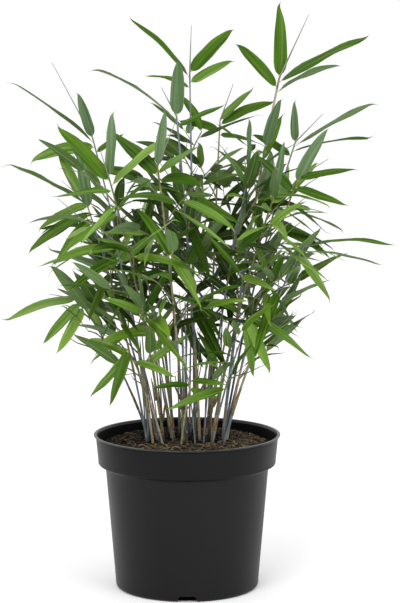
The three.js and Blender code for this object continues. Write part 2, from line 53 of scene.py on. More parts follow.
SOIL_TOP = round(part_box("soil")[1].z / MM, 3)
GAP = 0.3
GOLDEN_ANGLE = radians(137.508)
SEED = Sizes(first=13, step=13, shoots=1007, finer=4007, looks=90017)
SPRAYS = 26
SHOOTS = 6
TRIES = 3
CANE_TRIES = 24
CLUMP = Sizes(radius=42, depth=0.85, turn=1.3, shoot_radius=30, shoot_turn=0.4)

# Canes lean outwards more the further out they stand. Lean and opening angles are in degrees, and turns about
# the upright axis in radians.
CANE = Sizes(
    sides=6, steps=4, foot_radius=1.05, radius_per_height=0.002, taper=0.45, clearance=0.7,
    height=(180, 320), shorter_outside=0.15, lean=(1, 6), lean_outside=13, lean_front_and_back=7, sway=0.35,
    out_at_middle=0.32, spray_start=(0.28, 0.5),
)
SHOOT = Sizes(steps=5, height=(80, 190), lean=3, tip_radius=0.3, foot_turn=0.8, sway=1)
STEM = Sizes(sides=5, steps=4, spear_tip=0.25)

# The fan round a cane's tip: how much its leaves stray from their headings, and more with each new try.
FAN = Sizes(
    step=5, swing=4, swing_per_try=14, forward=0.3, forward_per_try=0.35, forward_middle=0.3,
    length=(0.98, 1.02), shorter_per_try=0.08, roll=0.35, face_out=(1.1, 0.75), full_reach=True,
)

# The fan of a cane inside the clump: angles and lengths. A leaf's side is the spear's side where it is 1.
INNER_FAN = Sizes(
    plane_swing=0.9,
    spear=((5, 35), (25, 55)),
    leaves=(
        (1, (-8, 20), (53, 68)),
        (1, (45, 75), (60, 80)),
        (-1, (45, 80), (58, 78)),
        (1, (75, 110), (53, 71)),
    ),
)
TWIG = Sizes(
    sides=3, radii=(0.75, 0.65, 0.55, 0.22), step=26, clearance=0.35, first=0.3,
    leader=Sizes(length=62, reach=0.68), inner=Sizes(length=90, reach=0.93),
    shorter_at_top=0.5, rank=0.35, share=(0.6, 1.1), shorter_per_try=0.15,
    foot_pull=0.7, turn=(0.3, 2), turn_per_try=0.5, open=(24, 46), low_from=500, low_over=180,
    sag=0.15, low_sag=0.35, sag_middle=0.12, sag_end=0.5, spear=(8, 40), spear_chance=0.5, spear_lift=0.25,
    bare_tip=1.5, bare_foot=7, leaves=3, extra_leaf=0.6, leaf_size=66, leaf_share=(0.8, 1.15), leaf_step=8,
)

# Leaves on a twig stand in two ranks that open more the further back they are.
RANK = Sizes(
    tilt=1.1, upright=0.6, upright_angle=6, upright_swing=(8, 10), angle=38, angle_step=10, swing=(10, 8),
    rise=(-1.15, 0.25), rise_per_try=0.2, least_hang=0.25, roll=0.75, face_out=(1.1, 0.35), full_reach=False,
)
LEAF = Sizes(
    width=(0.14, 0.175), least_width=1.5, droop=(0.15, 0.7), twist=0.7, bend=0.1, face_up=0.1,
    widest_at=0.42, thickness=0.011, sink=3, lowest=190, tones=6,
    clearance=0.35, clear_above=0.7, clear_below=1.4,
)

# How far from the axis the crown's twigs reach: (height, radius).
CROWN = ((180, 62), (220, 100), (270, 134), (310, 140), (340, 190), (370, 226), (620, 226))

# The canes that give the crown its outline: foot, tip, the angle to +X of the plane that the fan lies in,
# then the spear and the leaves as (degrees from straight up, length), and how far a leaf is turned edge-on.
LEADERS = (
    ((36, -6), (93, 18, 517), 4, (25, 70), ((2, 79), (66, 106, -0.15), (-46, 60), (70, 74, -1))),
    ((8, 15), (3, 30, 522), 6, (2, 48), ((51, 69), (-50, 90, 0.65), (69, 51), (-77, 49))),
    ((13, -10), (-10, -38, 481), -6, (-28, 32), ((2, 58), (-58, 102, 0.75), (64, 52))),
    ((-35, -8), (-95, 16, 457), 6, (-28, 86), ((-22, 50), (-56, 106, 1.2), (-98, 70), (55, 34))),
    ((38, 12), (110, 28, 452), -8, (44, 40), ((-4, 44), (62, 99, -0.6), (79, 90, -0.8), (-60, 48))),
    ((40, -8), (110, -30, 420), -14, (58, 36), ((84, 60), (30, 62), (112, 58), (-50, 56))),
    ((-40, -18), (-99, -34, 394), 14, (-35, 40), ((-66, 94, 1.1), (-8, 68), (-124, 76), (-140, 62))),
    ((-34, -28), (-69, -48, 352), 20, (-40, 30), ((-100, 70), (-52, 60), (-116, 66), (50, 50))),
    ((-39, 8), (-109, -20, 298), 4, (-80, 30), ((-110, 80), (-138, 58), (-156, 54), (-70, 60))),
    ((37, -24), (116, -36, 352), 2, (80, 30), ((88, 92, -1.1), (101, 82, -0.9), (148, 58), (60, 60))),
    ((25, -34), (62, -62, 286), -20, (110, 24), ((128, 76), (154, 60), (166, 54), (80, 58))),
    ((-6, -38), (4, -66, 222), 10, (60, 10), ((96, 36), (-96, 38), (112, 34))),
    ((22, 24), (34, 52, 473), 24, (22, 40), ((46, 48), (67, 62), (-78, 44), (100, 52))),
    ((-24, -33), (-58, -56, 252), 12, (-70, 12), ((-162, 60), (-140, 62), (-96, 58), (110, 44))),
)


class Dice:
    """Park and Miller's random numbers, the same on every run."""

    MULTIPLIER, MODULUS = 16807, 2147483647
    SPREAD, WARM_UP = 104729, 3

    def __init__(self, seed):
        self.state = 1 + seed * self.SPREAD % (self.MODULUS - 1)
        for _ in range(self.WARM_UP):
            self.roll()

    def roll(self):
        self.state = self.state * self.MULTIPLIER % self.MODULUS
        return self.state / self.MODULUS

    def between(self, low, high):
        return low + (high - low) * self.roll()

    def swing(self, size):
        return self.between(-size, size)

    def turn(self):
        return self.between(0, 2 * pi)

    def angle(self, limits):
        return radians(self.between(*limits))

    def pick(self, things):
        return things[int(self.roll() * len(things))]


def mix(low, high, share):
    return low + (high - low) * share


def clamp(value):
    return min(1, max(0, value))


def smooth(value):
    value = clamp(value)
    return value * value * (3 - 2 * value)


def level(angle):
    return Vector((cos(angle), sin(angle), 0))


def between_axes(ahead, side, angle):
    """The heading that is turned from `ahead` by an angle towards `side`."""
    return ahead * cos(angle) + side * sin(angle)


def heading(angle, plane):
    """A heading in the upright plane at `plane` to +X, `angle` away from straight up."""
    return between_axes(UP, level(plane), angle)


def square_to(v, axis):
    return (v - axis * v.dot(axis)).normalized()


def turned(v, axis, angle):
    return Matrix.Rotation(angle, 3, axis) @ v


class Curve:
    """A quadratic Bezier curve from foot to tip."""

    def __init__(self, foot, tip):
        middle = foot.lerp(tip, CANE.out_at_middle)
        middle.z = (foot.z + tip.z) / 2
        self.foot, self.middle, self.tip = foot, middle, tip
        self.height = tip.z - foot.z
        self.length = (tip - foot).length

    def point(self, share):
        return self.foot.lerp(self.middle, share).lerp(self.middle.lerp(self.tip, share), share)

    def tangent(self, share):
        return (self.middle.lerp(self.tip, share) - self.foot.lerp(self.middle, share)).normalized()

    def radius(self, share):
        return (CANE.foot_radius + CANE.radius_per_height * self.height) * (1 - CANE.taper * share)

    def stretch(self, start, end, steps):
        return [self.point(mix(start, end, i / steps)) for i in range(steps + 1)]

    def radii(self, start, end, steps):
        return [self.radius(mix(start, end, i / steps)) for i in range(steps + 1)]


def walk_back(points, distance):
    """The place on a path that lies so far back from its end."""
    end = len(points) - 1
    while end > 1 and distance > (points[end] - points[end - 1]).length:
        distance -= (points[end] - points[end - 1]).length
        end -= 1
    return points[end].lerp(points[end - 1], distance / (points[end] - points[end - 1]).length)


def root_on(points, distance):
    """A leaf's root on a rod's middle line, and the point further back where its solid begins."""
    return walk_back(points, distance), walk_back(points, distance + LEAF.sink)


# No limb runs along this direction, so a rod's rings can be turned from it.
RING_START = Vector((0.31, 0.95, 0.02))


def ring_on(points, i, radius, sides, level_foot=False):
    """A ring of corners round a path's point, square to the path. A level foot's first ring is flat."""
    direction = (points[min(len(points) - 1, i + 1)] - points[max(0, i - 1)]).normalized()
    side = RING_START.cross(direction).normalized()
    other = direction.cross(side)
    ring = []
    for k in range(sides):
        turn = 2 * pi * k / sides
        corner = points[i] + (side * sin(turn) - other * cos(turn)) * radius
        if level_foot and i == 0:
            corner += direction * (points[i].z - corner.z) / direction.z
        ring.append(corner)
    return ring


def skin(rings):
    """A closed surface over rings that each have the same number of corners: corners and faces."""
    sides = len(rings[0])
    corners = [corner for ring in rings for corner in ring]
    faces = []
    for i in range(len(rings) - 1):
        for k in range(sides):
            a, b = i * sides + k, i * sides + (k + 1) % sides
            faces.append((a, b, b + sides, a + sides))
    faces.append(tuple(reversed(range(sides))))
    faces.append(tuple(range(len(corners) - sides, len(corners))))
    return corners, faces


def rod_solid(points, radii, sides, swell=0, level_foot=False):
    """A closed rod along a path: its corners and faces."""
    return skin([ring_on(points, i, radii[i] + swell, sides, level_foot) for i in range(len(points))])


class Leaf:
    """A leaf leaves its root steeper than its chord, arches over and twists towards its tip."""

    def __init__(self, root, chord, face, pose, length, dice, roll=0):
        self.root, self.sunk = root
        self.length = length
        self.width = length * dice.between(*LEAF.width) + LEAF.least_width
        flatness = hypot(chord.x, chord.y)
        self.droop = dice.between(*LEAF.droop) * flatness
        self.ahead = chord + UP * self.droop / 2
        if pose.full_reach:
            self.length *= self.ahead.length
            self.droop /= self.ahead.length
        self.ahead.normalize()
        upper = UP * (flatness + LEAF.face_up) + face * mix(*pose.face_out, flatness)
        self.normal = turned(square_to(upper, self.ahead), self.ahead, roll + dice.swing(pose.roll))
        self.side = self.ahead.cross(self.normal)
        self.twist = dice.swing(LEAF.twist)
        self.bend = dice.swing(LEAF.bend)
        self.tone = int(dice.roll() * LEAF.tones)

    def point(self, share):
        point = self.root + self.ahead * self.length * share
        point += self.side * self.length * self.bend * share * share
        return point - UP * self.length * self.droop * share * share / 2

    def frame(self, share):
        ahead = (self.ahead + self.side * 2 * self.bend * share - UP * self.droop * share).normalized()
        normal = turned(square_to(self.normal, ahead), ahead, self.twist * share)
        return normal, ahead.cross(normal)

    def solid(self, swell=0):
        middle = self.point(LEAF.widest_at)
        normal, side = self.frame(LEAF.widest_at)
        half = self.width / 2 + swell
        top = middle + normal * LEAF.clear_above * swell
        keel = middle - normal * (LEAF.thickness * self.length + LEAF.clear_below * swell)
        corners = [self.sunk, top - side * half, top + side * half, keel, self.point(1 + swell / self.length)]
        return corners, [(0, 2, 1), (0, 3, 2), (0, 1, 3), (4, 1, 2), (4, 2, 3), (4, 3, 1)]


class Room:
    """What is already in place, so that nothing crosses anything else."""

    def __init__(self):
        self.placed = []

    @staticmethod
    def box(corners):
        axes = list(zip(*corners))
        return [min(axis) for axis in axes], [max(axis) for axis in axes]

    def place(self, solid, owner):
        self.placed.append((*self.box(solid[0]), BVHTree.FromPolygons(*solid), owner))

    def is_free(self, solid, *parents):
        low, high = self.box(solid[0])
        tree = None
        for other_low, other_high, other_tree, owner in self.placed:
            if owner in parents or any(low[i] > other_high[i] or high[i] < other_low[i] for i in range(3)):
                continue
            tree = tree or BVHTree.FromPolygons(*solid)
            if tree.overlap(other_tree):
                return False
        return True


ROOM = Room()


def crown_radius(z):
    for (low_z, low_radius), (high_z, high_radius) in zip(CROWN, CROWN[1:]):
        if z <= high_z:
            return low_radius + (high_radius - low_radius) * max(0, z - low_z) / (high_z - low_z)
    return CROWN[-1][1]


def in_crown(point):
    return point.z > LEAF.lowest and hypot(point.x, point.y) < crown_radius(point.z)


class Cane:
    """The cane below its spray, and the spray's stem that goes on from it to the spear."""

    def __init__(self, foot, tip, face, plane, spear, leaves, twigs, start, dice):
        self.curve = Curve(foot, tip)
        self.face, self.plane, self.leaves = face, plane, leaves
        self.twigs, self.start, self.dice = twigs, start, dice
        self.stem_start = start + GAP / self.curve.height
        self.stem_points = self.curve.stretch(self.stem_start, 1, STEM.steps)
        self.spear_tip = tip + heading(radians(spear[0]), plane) * spear[1]

    def lower(self, swell=0):
        points = self.curve.stretch(0, self.start, CANE.steps)
        radii = self.curve.radii(0, self.start, CANE.steps)
        return rod_solid(points, radii, CANE.sides, swell, True)

    def upper(self, swell=0):
        points = [*self.stem_points, self.spear_tip]
        radii = [*self.curve.radii(self.stem_start, 1, STEM.steps), STEM.spear_tip]
        return rod_solid(points, radii, STEM.sides, swell)

    def stands_free(self):
        return ROOM.is_free(self.lower(CANE.clearance)) and ROOM.is_free(self.upper(CANE.clearance))


def leader_cane(leader, dice):
    foot, tip, plane, spear, leaves = leader
    foot = Vector((*foot, SOIL_TOP + GAP))
    start = dice.between(*CANE.spray_start)
    face = Vector((0, -1, 0))
    return Cane(foot, Vector(tip), face, radians(plane), spear, leaves, TWIG.leader, start, dice)


def foot_on_spiral(k, count, radius, turn):
    """How far out, in which direction and where a foot stands that is one of many on a spiral."""
    share = sqrt((k + 0.5) / count)
    angle = k * GOLDEN_ANGLE + turn
    across = level(angle) * radius * share
    return share, angle, Vector((across.x, across.y * CLUMP.depth, SOIL_TOP + GAP))


def inner_cane(k, count, dice):
    """A cane of the clump's inside: its foot is on a spiral, and it leans outwards."""
    share, angle, foot = foot_on_spiral(k, count, CLUMP.radius, CLUMP.turn)
    height = dice.between(*CANE.height) * (1 - CANE.shorter_outside * share)
    spread = CANE.lean_outside + CANE.lean_front_and_back * abs(sin(angle))
    lean = radians(dice.between(*CANE.lean) + spread * share)
    out = angle + dice.swing(CANE.sway)
    tip = foot + level(out) * height * tan(lean) + UP * height
    plane = out + pi / 2 + dice.swing(INNER_FAN.plane_swing)
    side = -1 if k % 2 else 1
    angles, lengths = INNER_FAN.spear
    spear = (side * dice.between(*angles), dice.between(*lengths))
    leaves = [
        (side * leaf_side * dice.between(*angles), dice.between(*lengths))
        for leaf_side, angles, lengths in INNER_FAN.leaves
    ]
    start = dice.between(*CANE.spray_start)
    return Cane(foot, tip, level(out), plane, spear, leaves, TWIG.inner, start, dice)


def first_free(make_one, is_good):
    """The first good one of some tries. All are made, so that what follows draws the same numbers."""
    found = None
    for _ in range(CANE_TRIES):
        candidate = make_one()
        if found is None and is_good(candidate):
            found = candidate
    return found


def plant_cane(i):
    dice = Dice(SEED.first + SEED.step * i)
    inner = i - len(LEADERS)
    if inner < 0:
        cane = leader_cane(LEADERS[i], dice)
    else:
        cane = first_free(lambda: inner_cane(inner, SPRAYS - len(LEADERS), dice), Cane.stands_free)
    ROOM.place(cane.lower(), f"cane {i}")
    ROOM.place(cane.upper(), f"stem {i}")
    return cane


def shoot_solid(curve, swell=0):
    radii = curve.radii(0, 1, SHOOT.steps)
    radii[-1] = SHOOT.tip_radius
    return rod_solid(curve.stretch(0, 1, SHOOT.steps), radii, CANE.sides, swell, True)


def shoot_is_free(curve):
    return ROOM.is_free(shoot_solid(curve, CANE.clearance))


def shoot_curve(k, count, radius, turn, height, lean, sway):
    """A bare shoot from a foot on a spiral, which leans outwards."""
    _, angle, foot = foot_on_spiral(k, count, radius, turn)
    out = level(angle + sway) * height * tan(lean)
    return Curve(foot, foot + out + UP * height)


def plant_shoot(i):
    dice = Dice(SEED.shoots + SEED.step * i)
    shoot = first_free(lambda: shoot_curve(
        i, SHOOTS, CLUMP.shoot_radius, CLUMP.shoot_turn + dice.swing(SHOOT.foot_turn),
        dice.between(*SHOOT.height), radians(SHOOT.lean), dice.swing(SHOOT.sway),
    ), shoot_is_free)
    ROOM.place(shoot_solid(shoot), f"shoot {i}")
    return shoot


def fan_plans(cane):
    """The leaves round a cane's tip, each with a few variants of which the first free one grows."""
    dice = cane.dice
    plans = []
    for k, (degrees, length, *roll) in enumerate(cane.leaves):
        root = root_on(cane.stem_points, FAN.step * k)
        variants = []
        for attempt in range(TRIES):
            angle = degrees + dice.swing(FAN.swing + FAN.swing_per_try * attempt)
            strayed = FAN.forward_per_try * attempt
            forward = dice.swing(FAN.forward) + strayed * (dice.roll() - FAN.forward_middle)
            chord = (heading(radians(angle), cane.plane) + cane.face * forward).normalized()
            shortest = FAN.length[0] - FAN.shorter_per_try * attempt
            size = length * dice.between(shortest, FAN.length[1])
            variants.append(Leaf(root, chord, cane.face, FAN, size, dice, *roll))
        plans.append(variants)
    return plans


def rank_plans(points, face, side, upright, count, low, dice):
    """Leaves in two ranks, from the twig's tip backwards. Those low on the plant hang more."""
    direction = (points[-1] - points[-2]).normalized()
    across = turned(direction.cross(UP).normalized(), direction, dice.swing(RANK.tilt))
    length = (points[1] - points[0]).length + (points[2] - points[1]).length
    fitting = 1 + rounded_down((length - TWIG.bare_foot) / TWIG.leaf_step)
    plans = []
    for k in range(min(count, fitting)):
        root = root_on(points, TWIG.leaf_step * k)
        turn = -side if k % 2 else side
        straight = k == 0 and upright
        swing, swing_per_try = RANK.upright_swing if straight else RANK.swing
        middle = RANK.upright_angle if straight else RANK.angle + RANK.angle_step * k
        variants = []
        for attempt in range(TRIES):
            opening = radians(middle + dice.swing(swing + swing_per_try * attempt))
            rise = dice.between(RANK.rise[0], RANK.rise[1] + RANK.rise_per_try * attempt)
            chord = between_axes(direction, across * turn, opening) + UP * rise * mix(RANK.least_hang, 1, low)
            size = TWIG.leaf_size * dice.between(*TWIG.leaf_share)
            variants.append(Leaf(root, chord.normalized(), face, RANK, size, dice))
        plans.append(variants)
    return plans


class Twig:
    """One side twig: it leaves the stem, rises outwards and sags at its end."""

    def __init__(self, cane, share, rank, side, upright, count, low, attempt):
        curve, dice = cane.curve, cane.dice
        base = curve.point(share)
        outwards = curve.tip - curve.foot * TWIG.foot_pull
        out = atan2(outwards.y, outwards.x)
        turn = out + side * dice.between(TWIG.turn[0], TWIG.turn[1] + TWIG.turn_per_try * attempt)
        direction = between_axes(curve.tangent(share), level(turn), dice.angle(TWIG.open)).normalized()
        shorter = (1 - TWIG.shorter_at_top * rank) * (1 - TWIG.shorter_per_try * attempt)
        length = dice.between(*TWIG.share) * cane.twigs.length * shorter
        sag = (TWIG.sag + TWIG.low_sag * low) * length
        middle = base + direction * length / 2 - UP * TWIG.sag_middle * sag
        self.end = base + direction * length - UP * TWIG.sag_end * sag
        ahead = (self.end - middle).normalized()
        spear_length = dice.between(*TWIG.spear)
        self.has_spear = dice.roll() < TWIG.spear_chance
        if not self.has_spear:
            spear_length = TWIG.bare_tip
        self.points = [base, middle, self.end]
        self.rod = [*self.points, self.end + (ahead + UP * TWIG.spear_lift).normalized() * spear_length]
        self.face = level(turn)
        self.leaves = rank_plans(self.points, self.face, side, upright, count, low, dice)

    def solid(self, swell=0):
        return rod_solid(self.rod, TWIG.radii, TWIG.sides, swell)


def grow_leaves(sets, i, fits=lambda tip: True):
    """The first free variant of each leaf, where one is free."""
    leaves = []
    for owner, variants in sets:
        for leaf in variants:
            if fits(leaf.point(1)) and ROOM.is_free(leaf.solid(LEAF.clearance), owner, f"stem {i}"):
                ROOM.place(leaf.solid(), f"leaf {i}")
                leaves.append(leaf)
                break
    return leaves


def grow_fan(cane, i):
    return grow_leaves([(f"stem {i}", variants) for variants in fan_plans(cane)], i)


def grow_spray(cane, i):
    """The spray's twigs and their leaves, each only where it is free."""
    curve, dice, start = cane.curve, cane.dice, cane.start
    sets, twigs = [], []
    count = rounded_down(curve.height * (1 - start) / TWIG.step)
    for k in range(count):
        share = start + (1 - start) * cane.twigs.reach * (k + TWIG.first) / count
        low = clamp((TWIG.low_from - curve.point(share).z) / TWIG.low_over)
        upright = dice.roll() < RANK.upright
        wanted = TWIG.leaves + (1 if dice.roll() < TWIG.extra_leaf else 0)
        side = 1 if (k + i) % 2 else -1
        grown = None
        for attempt in range(TRIES):
            twig = Twig(cane, share, (k + TWIG.rank) / count, side, upright, wanted, low, attempt)
            if grown or not in_crown(twig.end):
                continue
            if ROOM.is_free(twig.solid(TWIG.clearance), f"stem {i}"):
                grown = twig
        if grown:
            owner = f"twig {i} {k}"
            ROOM.place(grown.solid(), owner)
            twigs.append(grown)
            sets += [(owner, variants) for variants in grown.leaves]
    return twigs, grow_leaves(sets, i, in_crown)


canes = [plant_cane(i) for i in range(SPRAYS)]
shoots = [plant_shoot(i) for i in range(SHOOTS)]
fans = [grow_fan(cane, i) for i, cane in enumerate(canes)]
sprays = [grow_spray(cane, i) for i, cane in enumerate(canes)]

# ---- Finer growth: twiglets with small leaves on the twigs, and thin young shoots ----

TWIGLET = Sizes(
    per_twig=2, inside=85, along=(0.25, 0.85), open=(30, 65), length=(12, 26), clear_from=0.4, clearance=0.3,
    radii=(0.42, 0.36, 0.25), sides=3,
    leaf_size=(44, 60), leaf_angles=(8, -46), leaf_swing=14, rise=(-0.5, 0.15), inset=4,
)
YOUNG = Sizes(count=30, radius=46, turn=2.6, foot_turn=0.5, height=(60, 190), lean=(0, 12), sway=1)


def twiglet_on(twig, dice):
    """A short side branch of a twig, with the plans of its two small leaves."""
    share = dice.between(*TWIGLET.along)
    half = 0 if share < 0.5 else 1
    base = twig.points[half].lerp(twig.points[half + 1], 2 * share - half)
    ahead = (twig.points[2] - twig.points[0]).normalized()
    across = turned(ahead.cross(UP).normalized(), ahead, dice.turn())
    direction = between_axes(ahead, across, dice.angle(TWIGLET.open)).normalized()
    end = base + direction * dice.between(*TWIGLET.length)
    rod = [base, base.lerp(end, 0.5), end]
    plans = []
    side = square_to(UP, direction).cross(direction)
    for k, angle in enumerate(TWIGLET.leaf_angles):
        opening = radians(angle + dice.swing(TWIGLET.leaf_swing))
        chord = between_axes(direction, side, opening) + UP * dice.between(*TWIGLET.rise)
        root = walk_back(rod, TWIGLET.inset * k)
        size = dice.between(*TWIGLET.leaf_size)
        plans.append(Leaf((root, root), chord.normalized(), twig.face, RANK, size, dice))
    return rod, plans


def twiglet_solid(rod, swell=0):
    """The twiglet's solid, from a little away from the twig that bears it."""
    points = [rod[0].lerp(rod[1], TWIGLET.clear_from), *rod[1:]]
    return rod_solid(points, TWIGLET.radii, TWIGLET.sides, swell)


def grow_twiglets(i):
    """Twiglets on one spray's twigs, each where it is free and bears at least one leaf that is free too."""
    dice = Dice(SEED.finer + SEED.step * i)
    rods, leaves = [], []
    for twig in sprays[i][0]:
        for _ in range(TWIGLET.per_twig):
            rod, plans = twiglet_on(twig, dice)
            if hypot(rod[0].x, rod[0].y) > TWIGLET.inside or not in_crown(rod[-1]):
                continue
            if not ROOM.is_free(twiglet_solid(rod, TWIGLET.clearance)):
                continue
            grown = [
                leaf for leaf in plans
                if in_crown(leaf.point(1)) and ROOM.is_free(leaf.solid(LEAF.clearance))
            ]
            if grown:
                ROOM.place(twiglet_solid(rod), f"twiglet {i}")
                rods.append(rod)
                for leaf in grown:
                    ROOM.place(leaf.solid(), f"leaf {i}")
                    leaves.append(leaf)
    return rods, leaves


def plant_young():
    """Thin bare shoots round the clump's foot."""
    dice = Dice(SEED.finer - 1)
    grown = []
    for k in range(YOUNG.count):
        young = first_free(lambda: shoot_curve(
            k, YOUNG.count, YOUNG.radius, YOUNG.turn + dice.swing(YOUNG.foot_turn),
            dice.between(*YOUNG.height), dice.angle(YOUNG.lean), dice.swing(YOUNG.sway),
        ), shoot_is_free)
        if young:
            ROOM.place(shoot_solid(young), f"young {k}")
            grown.append(young)
    return grown


finer = [grow_twiglets(i) for i in range(SPRAYS)]
young_shoots = plant_young()

# ---- Materials ----


def set_inputs(node, inputs):
    for name, value in inputs.items():
        node.inputs[name].default_value = value


def add_node(tree, kind, inputs):
    """A new node with some of its inputs set."""
    node = tree.nodes.new(kind)
    set_inputs(node, inputs)
    return node


def new_material(name, inputs):
    """A material and its shader, with some of the shader's inputs set."""
    material = bpy.data.materials.new(name)
    material.use_nodes = True
    shader = material.node_tree.nodes["Principled BSDF"]
    set_inputs(shader, inputs)
    return material, shader


def noise_node(tree, scale, detail, stretch, along_blade):
    """A noise with so many waves to the metre, over the object's own space or over each blade's."""
    place = tree.nodes.new("ShaderNodeAttribute" if along_blade else "ShaderNodeTexCoord")
    if along_blade:
        place.attribute_name = "blade"
    mapping = add_node(tree, "ShaderNodeMapping", {"Scale": stretch})
    texture = add_node(tree, "ShaderNodeTexNoise", {"Scale": scale, "Detail": detail})
    tree.links.new(place.outputs["Vector" if along_blade else "Object"], mapping.inputs["Vector"])
    tree.links.new(mapping.outputs["Vector"], texture.inputs["Vector"])
    return texture


def finish(name, colors, roughness, ior=1.45, scale=60, detail=4, stretch=(1, 1, 1), stops=(0.3, 0.7),
           bump=0.0, bump_scale=900, bump_detail=3, bump_stretch=(1, 1, 1), bump_depth=0.0002,
           rough_swing=0.0, along_blade=False):
    """A material that wanders between a few tones, with a fine relief. Its plain colour is the first."""
    material, shader = new_material(name, {"Roughness": roughness, "IOR": ior, "Base Color": (*colors[0], 1)})
    tree = material.node_tree
    texture = noise_node(tree, scale, detail, stretch, along_blade)
    ramp = tree.nodes.new("ShaderNodeValToRGB")
    for _ in colors[2:]:
        ramp.color_ramp.elements.new(0.5)
    for i, color in enumerate(colors):
        ramp.color_ramp.elements[i].position = mix(*stops, i / (len(colors) - 1))
        ramp.color_ramp.elements[i].color = (*color, 1)
    tree.links.new(texture.outputs["Fac"], ramp.inputs["Fac"])
    tree.links.new(ramp.outputs["Color"], shader.inputs["Base Color"])
    if rough_swing:
        spread = add_node(tree, "ShaderNodeMapRange", {
            "From Min": stops[0], "From Max": stops[1],
            "To Min": roughness - rough_swing, "To Max": roughness + rough_swing,
        })
        tree.links.new(texture.outputs["Fac"], spread.inputs["Value"])
        tree.links.new(spread.outputs["Result"], shader.inputs["Roughness"])
    if bump:
        grain = noise_node(tree, bump_scale, bump_detail, bump_stretch, along_blade)
        relief = add_node(tree, "ShaderNodeBump", {"Strength": bump, "Distance": bump_depth})
        tree.links.new(grain.outputs["Fac"], relief.inputs["Height"])
        tree.links.new(relief.outputs["Normal"], shader.inputs["Normal"])
    return material


# For each tone of leaf: the colours of its streaks, then its roughness and refraction.
LEAF_UPPER = (
    (((0.058, 0.138, 0.004), (0.099, 0.202, 0.009), (0.160, 0.278, 0.036)), 0.42, 1.36),
    (((0.076, 0.164, 0.007), (0.123, 0.238, 0.014), (0.190, 0.312, 0.060)), 0.40, 1.42),
    (((0.022, 0.064, 0.003), (0.046, 0.110, 0.006), (0.084, 0.169, 0.015)), 0.55, 1.16),
    (((0.042, 0.107, 0.003), (0.077, 0.168, 0.007), (0.129, 0.238, 0.034)), 0.45, 1.32),
    (((0.092, 0.190, 0.007), (0.140, 0.262, 0.017), (0.205, 0.330, 0.064)), 0.40, 1.38),
    (((0.019, 0.055, 0.003), (0.042, 0.097, 0.007), (0.077, 0.150, 0.022)), 0.55, 1.16),
    # A pale grey-green painted sheen for upright leaves.
    (((0.059, 0.114, 0.040), (0.090, 0.154, 0.066), (0.132, 0.205, 0.103)), 0.50, 1.28),
    # A near-black painted shade for leaves deep in the clump.
    (((0.009, 0.026, 0.001), (0.020, 0.048, 0.003), (0.042, 0.082, 0.008)), 0.60, 1.12),
)
LEAF_UNDER = (
    ((0.086, 0.152, 0.044), (0.125, 0.205, 0.073)),
    ((0.053, 0.106, 0.020), (0.088, 0.158, 0.035)),
    ((0.119, 0.187, 0.077), (0.167, 0.246, 0.112)),
    # A dark painted shade for undersides deep in the clump.
    ((0.022, 0.050, 0.008), (0.046, 0.088, 0.018)),
)

# The patterns that several looks share.
STREAKS = dict(
    scale=460, detail=5, stretch=(1, 0.025, 1), stops=(0.34, 0.66),
    bump_scale=1100, bump_stretch=(1, 0.02, 1), along_blade=True,
)
CANE_GRAIN = dict(scale=70, stretch=(9, 9, 0.5), stops=(0.25, 0.72), bump=0.3, bump_stretch=(3, 3, 0.3))
STRAW_GRAIN = dict(CANE_GRAIN, scale=80, bump=0.5, bump_stretch=(4, 4, 0.25))
SHEATH_GRAIN = dict(scale=70, stretch=(9, 9, 0.6), bump=0.6, bump_stretch=(5, 5, 0.2))
PLASTIC = dict(
    scale=14, stretch=(1, 1, 0.35), stops=(0.35, 0.65), rough_swing=0.05, bump=0.25, bump_scale=1400,
    bump_depth=0.00012,
)
# The lip's bead is a paler plastic: a painted highlight along its edge, with some wear.
WORN_AND_HIGHLIT_PLASTIC = dict(scale=45, stops=(0.4, 0.65), bump=0.3, bump_scale=700, ior=1.4)
EARTH = dict(scale=420, detail=6, bump=1.0, bump_scale=1500, bump_depth=0.0008, ior=1.3)
# Compost in painted shade: less shiny.
SHADE_EARTH = dict(EARTH, ior=1.2)
FIBRE_GRAIN = dict(scale=220)

